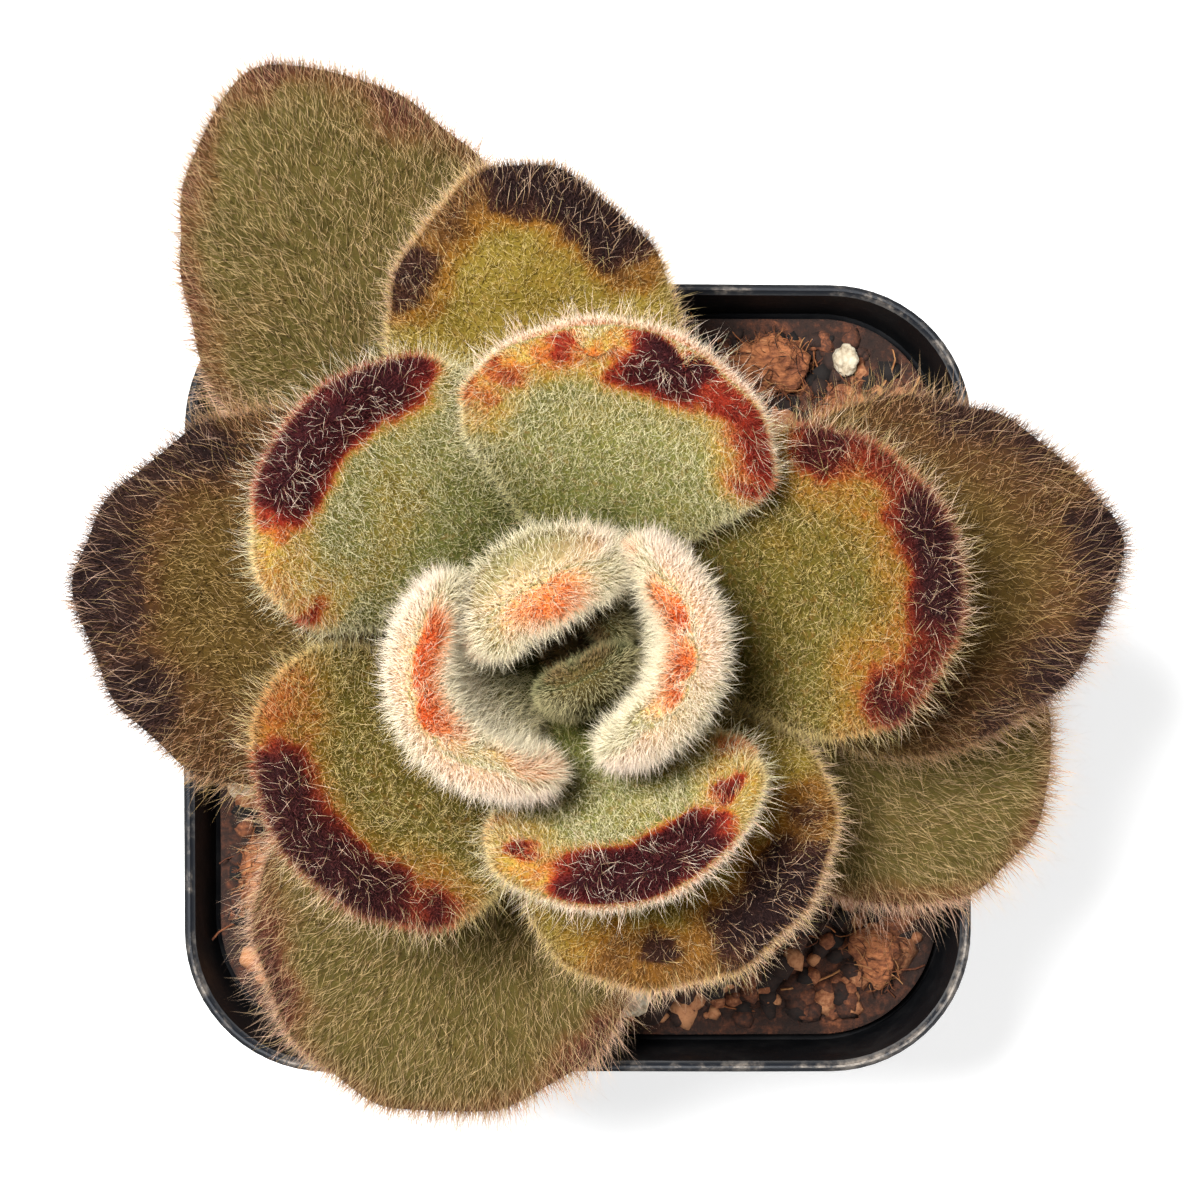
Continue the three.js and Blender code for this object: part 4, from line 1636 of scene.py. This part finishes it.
@dataclass(frozen=True)
class Strew:
    """How litter lies. Sizes are in millimetres, and density is pieces a square millimetre."""

    density: float
    size: float
    spread: float
    flatness: float
    sunk: float


class LitterTree(NodeTool):
    """The geometry nodes that strew crumbs or fibres over a surface."""

    SHAPES = 4
    SIZES = ("Density", "Size", "Spread", "Flatness", "Sunk")

    def __init__(self, kind: Litter) -> None:
        """Builds the tree: a few shapes, points, turns, sizes and the tone of each piece.

        Args:
            kind: what it strews.
        """
        super().__init__(f"strew_{kind.value}", [(name, "Float") for name in self.SIZES])
        self.kind = kind
        graph = self.graph
        give = self.given
        shapes = graph.node("GeometryNodeGeometryToInstance")
        for number in range(self.SHAPES):
            self.tree.links.new(self._shape(number).socket, shapes.inputs[0])
        scatter = self.scatter(give["Density"], give["Seed"])
        low = 1 - give["Spread"]
        high = 1 + give["Spread"]
        size = self.random(low, high, give["Seed"] + 1) * give["Size"]
        tone = self.random(0.0, 1.0, give["Seed"] + 2)
        marked = self.stored(graph.out(scatter, "Points"), "tone", tone)
        down = graph.scaled(graph.out(scatter, "Normal"), size * give["Sunk"])
        sunk = graph.node("GeometryNodeSetPosition", None, Geometry=marked, Offset=graph.scaled(down, -1.0))
        turn = self.random_vector((0.5, 0.5, math.pi), give["Seed"] + 3)
        square = graph.node("ShaderNodeCombineXYZ", None, X=size, Y=size, Z=size * give["Flatness"])
        placed = graph.node(
            "GeometryNodeInstanceOnPoints",
            None,
            Points=graph.out(sunk),
            Instance=graph.out(shapes),
            Pick_Instance=True,
            Rotation=turn,
            Scale=graph.out(square),
        )
        real = graph.node("GeometryNodeRealizeInstances", None, Geometry=graph.out(placed))
        self.end(graph.out(real))

    def _shape(self, number: int) -> Term:
        """One of the shapes, about a metre across.

        Args:
            number: which of the shapes.

        Returns:
            The shape.
        """
        graph = self.graph
        place = graph.out(graph.node("GeometryNodeInputPosition"))
        if self.kind is Litter.CRUMB:
            base = graph.out(graph.node("GeometryNodeMeshIcoSphere", None, Radius=0.5, Subdivisions=1))
            moved = graph.vector("ADD", place, (3.1 * number, 1.7, 0.4))
            made = graph.node("ShaderNodeTexNoise", None, Vector=moved, Scale=1.7, Detail=2.0)
            push = graph.scaled(place, graph.out(made, "Fac") * 2.2 - 1.0)
        else:
            rod = graph.node(
                "GeometryNodeMeshCylinder", None, Vertices=3, Side_Segments=5, Radius=0.022, Depth=1.0
            )
            base = graph.out(rod)
            parts = graph.node("ShaderNodeSeparateXYZ", None, Vector=place)
            along = graph.out(parts, "Z")
            across = graph.out(parts, "Y")
            bow = 0.25 + 0.22 * number
            sag = bow * along * along
            kink = 0.07 * graph.math("SINE", along * (5.0 + number))
            level = kink + along - across
            drop = (along + across) * -1.0
            push = graph.out(graph.node("ShaderNodeCombineXYZ", None, X=sag, Y=level, Z=drop))
        bent = graph.node("GeometryNodeSetPosition", None, Geometry=base, Offset=push)
        return graph.out(bent)

    def strew(self, name: str, ground: bpy.types.Mesh, lie: Strew, material: bpy.types.Material,
              seed: int) -> bpy.types.Object:
        """Strews litter over a surface.

        Args:
            name: the new piece's name.
            ground: the surface, which is used up.
            lie: how it lies.
            material: its finish.
            seed: for its random draws.

        Returns:
            The litter alone, as a plain mesh.
        """
        return self.run(
            name,
            ground,
            Density=lie.density / MM**2,
            Size=lie.size * MM,
            Spread=lie.spread,
            Flatness=lie.flatness,
            Sunk=lie.sunk,
            Seed=seed,
            Material=material,
        )


SOIL_TONES = ramp((0.2, (20, 13, 10)), (0.5, (46, 27, 19)), (0.66, (84, 47, 30)), (0.8, (132, 78, 48)),
                  (0.97, (178, 124, 84)))
COIR_TONES = ramp((0.1, (46, 24, 14)), (0.45, (92, 48, 26)), (0.75, (140, 82, 44)), (1, (176, 128, 80)))
BARK_TONES = ramp((0.25, (46, 24, 15)), (0.42, (112, 62, 36)), (0.58, (168, 104, 62)),
                  (0.8, (216, 166, 118)))
PERLITE_TONES = ramp((0.3, (112, 88, 66)), (0.5, (182, 168, 142)), (0.7, (216, 208, 188)))


@dataclass(frozen=True)
class PeatFinish:
    """Dark moist peat with rusty patches. Sizes are in millimetres."""

    patch: float = 3.4
    grit: float = 0.5
    relief: float = 0.4
    roughness: float = 0.93

    def build(self) -> bpy.types.Material:
        """Makes the material.

        Returns:
            The material.
        """
        material, graph, shader = new_material("soil_peat")
        place = object_place(graph)
        patch = graph.noise(place, self.patch * MM, 5, 0.65)
        grit = graph.noise(place, self.grit * MM, 4, 0.7)
        colour = graph.ramp(patch * 0.95 + grit * 0.6 - 0.24, SOIL_TONES)
        feed(graph, shader, Base_Color=colour, Roughness=self.roughness,
             Normal=bump(graph, grit + patch, 0.9, self.relief * MM))
        return material


@dataclass(frozen=True)
class LitterFinish:
    """A finish whose tone changes from piece to piece. Sizes are in millimetres."""

    name: str
    tones: Ramp
    fine: float = 0.4
    relief: float = 0.15
    roughness: float = 0.9

    def build(self) -> bpy.types.Material:
        """Makes the material.

        Returns:
            The material.
        """
        material, graph, shader = new_material(self.name)
        tone = graph.out(graph.node("ShaderNodeAttribute", {"attribute_name": "tone"}), "Fac")
        fine = graph.noise(object_place(graph), self.fine * MM, 3, 0.65)
        colour = graph.ramp(tone * 0.85 + (fine - 0.5) * 0.6 + 0.13, self.tones)
        feed(graph, shader, Base_Color=colour, Roughness=self.roughness,
             Normal=bump(graph, fine, 0.6, self.relief * MM))
        return material


@dataclass(frozen=True)
class BarkFinish:
    """Shredded orange-brown husk. Sizes are in millimetres."""

    strand: float = 0.35
    stretch: tuple[float, float, float] = (0.25, 1.0, 1.0)
    patch: float = 1.8
    relief: float = 0.35
    roughness: float = 0.88

    def build(self) -> bpy.types.Material:
        """Makes the material.

        Returns:
            The material.
        """
        material, graph, shader = new_material("bark_husk")
        place = object_place(graph)
        strands = graph.noise(graph.vector("MULTIPLY", place, self.stretch), self.strand * MM, 4, 0.7)
        patch = graph.noise(place, self.patch * MM, 4, 0.6)
        colour = graph.ramp(strands * 0.6 + patch * 0.5 - 0.05, BARK_TONES)
        feed(graph, shader, Base_Color=colour, Roughness=self.roughness,
             Normal=bump(graph, strands + patch, 0.9, self.relief * MM))
        return material


@dataclass(frozen=True)
class PerliteFinish:
    """Pale pitted perlite, dusted with peat. Sizes are in millimetres."""

    pit: float = 0.3
    dust: float = 1.0
    relief: float = 0.15
    roughness: float = 0.86

    def build(self) -> bpy.types.Material:
        """Makes the material.

        Returns:
            The material.
        """
        material, graph, shader = new_material("perlite_stone")
        place = object_place(graph)
        pits = graph.noise(place, self.pit * MM, 3, 0.65)
        dust = graph.noise(place, self.dust * MM, 4, 0.65)
        colour = graph.ramp(dust * 0.7 + pits * 0.3, PERLITE_TONES)
        feed(graph, shader, Base_Color=colour, Roughness=self.roughness,
             Normal=bump(graph, pits, 0.8, self.relief * MM))
        return material


@dataclass
class Soil:
    """Coarse peat and coir that fills the pot, with crumbs, fibres, bark and perlite on top."""

    tub: Tub = field(default_factory=Tub)
    shoot: Shoot = field(default_factory=Shoot)
    mound: float = 1.4
    ripple: float = 0.5
    lumps: tuple[str, ...] = tuple(f"bark_lump_{number}" for number in range(1, 7))
    grains: tuple[str, ...] = tuple(f"perlite_grain_{number}" for number in range(1, 4))

    RINGS = 74
    CORNER_POINTS = 24
    SIDE_POINTS = 30

    def height(self, x: np.ndarray, y: np.ndarray) -> np.ndarray:
        """The height of the soil's top, in millimetres.

        Args:
            x, y: places, in millimetres.

        Returns:
            The heights.
        """
        reach = self.tub.top / 2 + self.tub.step
        away = np.hypot(x - self.shoot.x, y - self.shoot.y) / reach
        wave = np.sin(0.31 * x + 1.1) * np.cos(0.27 * y - 0.4) + 0.5 * np.sin(0.52 * (x - y))
        return self.shoot.soil_level + self.mound * np.exp(-2.5 * away**2) + self.ripple * wave / 1.5

    def top(self) -> list[np.ndarray]:
        """The rings of the soil's top, from the edge to the middle, rough all over.

        Returns:
            Each ring of points, in millimetres.
        """
        inset = -self.tub.wall - self.tub.clearance
        edge = self.tub.outline(self.shoot.soil_level - 1, inset, self.CORNER_POINTS, self.SIDE_POINTS)
        centre = np.array([self.shoot.x, self.shoot.y])
        rings = []
        for share in np.linspace(0.997, 0.01, self.RINGS):
            ring = edge.copy()
            ring[:, :2] = centre + (edge[:, :2] - centre) * share
            ring[:, 2] = self.height(ring[:, 0], ring[:, 1])
            clods = ripple(ring * MM, 6.5 * MM, 1.5) * 0.9
            crumbs = ripple(ring * MM, 2.4 * MM, 8.5) * 0.55
            grit = ripple(ring * MM, 0.9 * MM, 4.2) * 0.22
            ring[:, 2] += (clods + crumbs + grit) * min(1.0, (1 - share) * 12)
            rings.append(ring)
        return rings

    def build(self) -> None:
        """Makes the soil block and everything that lies on it."""
        inset = -self.tub.wall - self.tub.clearance
        levels = (self.tub.floor + self.tub.clearance, 20.0, 40.0, self.shoot.soil_level - 1)
        walls = [self.tub.outline(z, inset, self.CORNER_POINTS, self.SIDE_POINTS) for z in levels]
        count = len(walls[0])
        tops = self.top()
        points = np.array(walls + tops)
        block = new_piece("soil_block", points * MM, loft_faces(len(points), count), PeatFinish().build())
        ground = self._ground(tops)
        settle(block, "peat", "soil")
        tone = LitterFinish("soil_crumbs", SOIL_TONES).build()
        straw = LitterFinish("coir", COIR_TONES).build()
        crumbs = LitterTree(Litter.CRUMB)
        fibres = LitterTree(Litter.FIBRE)
        settle(crumbs.strew("soil_crumbs", ground.copy(), Strew(1.0, 1.5, 0.6, 0.8, 0.0), tone, 11), "peat")
        settle(crumbs.strew("soil_clods", ground.copy(), Strew(0.07, 3.2, 0.5, 0.6, 0.05), tone, 12), "peat")
        settle(fibres.strew("coir_fibres", ground.copy(), Strew(0.16, 3.8, 0.6, 0.6, -0.05), straw, 13),
               "peat")
        bpy.data.meshes.remove(ground)
        self._lay_lumps(fibres, straw)

    def _ground(self, tops: list[np.ndarray]) -> bpy.types.Mesh:
        """The open top of the soil alone, for litter to lie on.

        Args:
            tops: the rings of the soil's top.

        Returns:
            The mesh.
        """
        rings = tops[3:-2]
        count = rings[0].shape[0]
        mesh = bpy.data.meshes.new("ground")
        mesh.from_pydata((np.array(rings) * MM).reshape(-1, 3).tolist(), [],
                         loft_faces(len(rings), count)[1:-1])
        return mesh

    def _lay_lumps(self, fibres: LitterTree, straw: bpy.types.Material) -> None:
        """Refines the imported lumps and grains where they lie.

        Args:
            fibres: the tree that strews fibres over the lumps.
            straw: the fibres' finish.
        """
        bark = BarkFinish().build()
        stone = PerliteFinish().build()
        for number, node in enumerate(self.lumps):
            lump = refined(node, f"{node}_rough", 3, ((2.6, 0.85), (0.9, 0.42), (0.45, 0.16)), bark,
                           3.7 * number)
            strands = fibres.strew(f"{node}_fibres", lump.data.copy(), Strew(2.0, 2.0, 0.5, 0.8, -0.02),
                                   straw, 40 + number)
            settle(lump, "bark", node)
            settle(strands, "bark")
        for number, node in enumerate(self.grains):
            grain = refined(node, f"{node}_rough", 3, ((0.9, 0.3), (0.35, 0.1)), stone, 1.9 * number)
            settle(grain, "perlite", node)


def refined(
    node: str,
    name: str,
    levels: int,
    roughness: Sequence[tuple[float, float]],
    material: bpy.types.Material,
    seed: float,
) -> bpy.types.Object:
    """A merged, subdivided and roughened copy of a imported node.

    Args:
        node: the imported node.
        name: the new piece's name.
        levels: how many times each face is split.
        roughness: sizes and depths of its bumps, in millimetres.
        material: its finish.
        seed: moves the bumps.

    Returns:
        The piece, in the same place.
    """
    mesh = bpy.data.objects[node].data.copy()
    mesh.name = name
    mesh.materials.clear()
    mesh.materials.append(material)
    piece = bpy.data.objects.new(name, mesh)
    bpy.context.scene.collection.objects.link(piece)
    weld = piece.modifiers.new("weld", "WELD")
    weld.merge_threshold = 0.01 * MM
    split = piece.modifiers.new("split", "SUBSURF")
    split.levels = levels
    split.subdivision_type = "CATMULL_CLARK"
    settled(piece)
    count = len(piece.data.vertices)
    flat = np.empty(count * 3, dtype=np.float32)
    normals = np.empty(count * 3, dtype=np.float32)
    piece.data.vertices.foreach_get("co", flat)
    piece.data.vertices.foreach_get("normal", normals)
    points = flat.reshape(-1, 3).astype(float)
    centre = points.mean(0)
    points = centre + (points - centre) * 1.12
    push = sum(ripple(points, size * MM, seed + k) * depth * MM for k, (size, depth) in enumerate(roughness))
    points = points + normals.reshape(-1, 3) * push[:, None]
    piece.data.vertices.foreach_set("co", points.astype(np.float32).ravel())
    piece.data.polygons.foreach_set("use_smooth", [True] * len(piece.data.polygons))
    piece.data.update()
    return piece


# ---------------------------------------------------------------- stem


STEM_TONES = ramp((0.3, (70, 58, 34)), (0.6, (112, 92, 54)), (0.8, (136, 116, 74)))


@dataclass(frozen=True)
class StemFinish:
    """Brown-green stem skin. Sizes are in millimetres."""

    patch: float = 1.5
    relief: float = 0.2
    roughness: float = 0.85

    def build(self) -> bpy.types.Material:
        """Makes the material.

        Returns:
            The material.
        """
        material, graph, shader = new_material("stem_skin")
        patch = graph.noise(object_place(graph), self.patch * MM, 4, 0.6)
        colour = graph.ramp(patch, STEM_TONES)
        feed(graph, shader, Base_Color=colour, Roughness=self.roughness,
             Normal=bump(graph, patch, 0.5, self.relief * MM))
        return material


@dataclass
class Stem:
    """The short upright stem: felted, with a ridge under each leaf."""

    shoot: Shoot = field(default_factory=Shoot)
    depth: float = 18.0

    RINGS = 90
    AROUND = 40

    def build(self) -> None:
        """Makes the stem and its felt."""
        shoot = self.shoot
        share = np.linspace(0, 1, self.RINGS)
        foot = shoot.soil_level - self.depth
        heights = foot + (shoot.top - foot) * share
        radii = np.array([shoot.radius(max(height, shoot.soil_level)) for height in heights])
        nodes = (heights - shoot.soil_level - shoot.first_seat) / shoot.internode
        radii += 0.12 * np.cos(2 * math.pi * nodes)
        radii *= np.sqrt(np.clip((1 - share) / 0.03, 0.02, 1))
        radii *= np.sqrt(np.clip(share / 0.02, 0.05, 1))
        angles = np.linspace(0, 2 * math.pi, self.AROUND, endpoint=False)
        points = np.stack(
            [
                shoot.x + radii[:, None] * np.cos(angles),
                shoot.y + radii[:, None] * np.sin(angles),
                np.repeat(heights[:, None], self.AROUND, 1),
            ],
            -1,
        )
        finish = StemFinish().build()
        stem = new_piece("stem_skin", points * MM, loft_faces(self.RINGS, self.AROUND), finish)
        flat = points.reshape(-1, 3)
        count = len(flat)
        store(stem.data, HAIR_TINT, 0.3 + 0.1 * ripple(flat * MM, 2 * MM, 2.0))
        store(stem.data, COMB, np.tile([0.0, 0.0, 1.0], (count, 1)))
        store(stem.data, REACH, np.full(count, 0.9))
        # The depth sets how much painted shade the felt's strands take.
        store(stem.data, DEPTH, np.full(count, 0.6))
        store(stem.data, THATCH, (flat[:, 2] > shoot.soil_level).astype(float))
        pelt = Pelt(Layer(12.0, 1.2, 0.07, 0.2, 0.7, 0.6), Layer(1.5, 1.9, 0.08, 0.3, 0.8, 0.6, 0.6))
        hair = FELTS[Coat.WEATHERED].make_hair(f"{Coat.WEATHERED.value}_leaf_hair")
        felt = HairTree().grow("stem_felt", stem.data, pelt, hair, 7)
        settle(stem, "stem_felt", "stem")
        settle(felt, "stem_felt")


# ---------------------------------------------------------------- stage


FLOOR_HALF = 3.0
# Each lamp's name, place and size in metres, and watts.
LAMPS = (
    ("key_light", (-0.16, 0.12, 0.72), 0.2, 9.5),
    ("fill_light", (0.4, -0.35, 0.55), 0.5, 2.4),
)
LAMP_TARGET = (0.0, 0.0, 0.07)
CAMERA_PLACE = (1.96, 6.93, 450.0)  # millimetres
CAMERA_LENS = 131.0
CAMERA_SENSOR = 36.0


def build_stage() -> None:
    """The floor, the lights and the camera."""
    material, graph, shader = new_material("studio_floor")
    feed(graph, shader, Base_Color=(0.93, 0.93, 0.93), Roughness=0.9, Emission_Color=(1.0, 1.0, 1.0),
         Emission_Strength=0.3)
    corners = FLOOR_HALF * np.array([[-1, -1, 0], [1, -1, 0], [1, 1, 0], [-1, 1, 0]])
    floor = new_piece("studio_floor", corners, [(0, 1, 2, 3)], material, smooth=False)

    world = bpy.data.worlds.new("studio")
    bpy.context.scene.world = world
    world.use_nodes = True
    sky = Graph(world.node_tree)
    way = sky.out(sky.node("ShaderNodeTexCoord"), "Generated")
    look = sky.node("ShaderNodeSeparateXYZ", None, Vector=way)
    glow = sky.step(sky.out(look, "Z"), 0.02, 0.42, 0.8, 0.34)
    backdrop = world.node_tree.nodes["Background"]
    backdrop.inputs["Color"].default_value = (1.0, 1.0, 1.0, 1.0)
    world.node_tree.links.new(glow.socket, backdrop.inputs["Strength"])

    for name, place, size, power in LAMPS:
        lamp = bpy.data.lights.new(name, "AREA")
        lamp.shape = "DISK"
        lamp.size = size
        lamp.energy = power
        holder = bpy.data.objects.new(name, lamp)
        bpy.context.scene.collection.objects.link(holder)
        holder.location = place
        aim = Vector(LAMP_TARGET) - Vector(place)
        holder.rotation_euler = aim.to_track_quat("-Z", "Y").to_euler()

    lens = bpy.data.cameras.new("camera")
    lens.lens = CAMERA_LENS
    lens.sensor_width = CAMERA_SENSOR
    lens.clip_start = 0.01
    camera = bpy.data.objects.new("camera", lens)
    bpy.context.scene.collection.objects.link(camera)
    camera.location = tuple(value * MM for value in CAMERA_PLACE)
    camera.rotation_euler = (0.0, 0.0, 0.0)
    bpy.context.scene.camera = camera
    bpy.context.scene.view_settings.view_transform = "Standard"


# ---------------------------------------------------------------- main


def main() -> None:
    """Builds the plant, the pot and the stage, in order."""
    logging.basicConfig(level=logging.INFO, format="%(message)s")
    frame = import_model()
    LOG.info("the frame has %d pieces", len(frame["nodes"]))
    build_stage()
    Pot().build()
    Soil().build()
    Stem().build()
    Rosette().build()


if __name__ == "__main__":
    main()
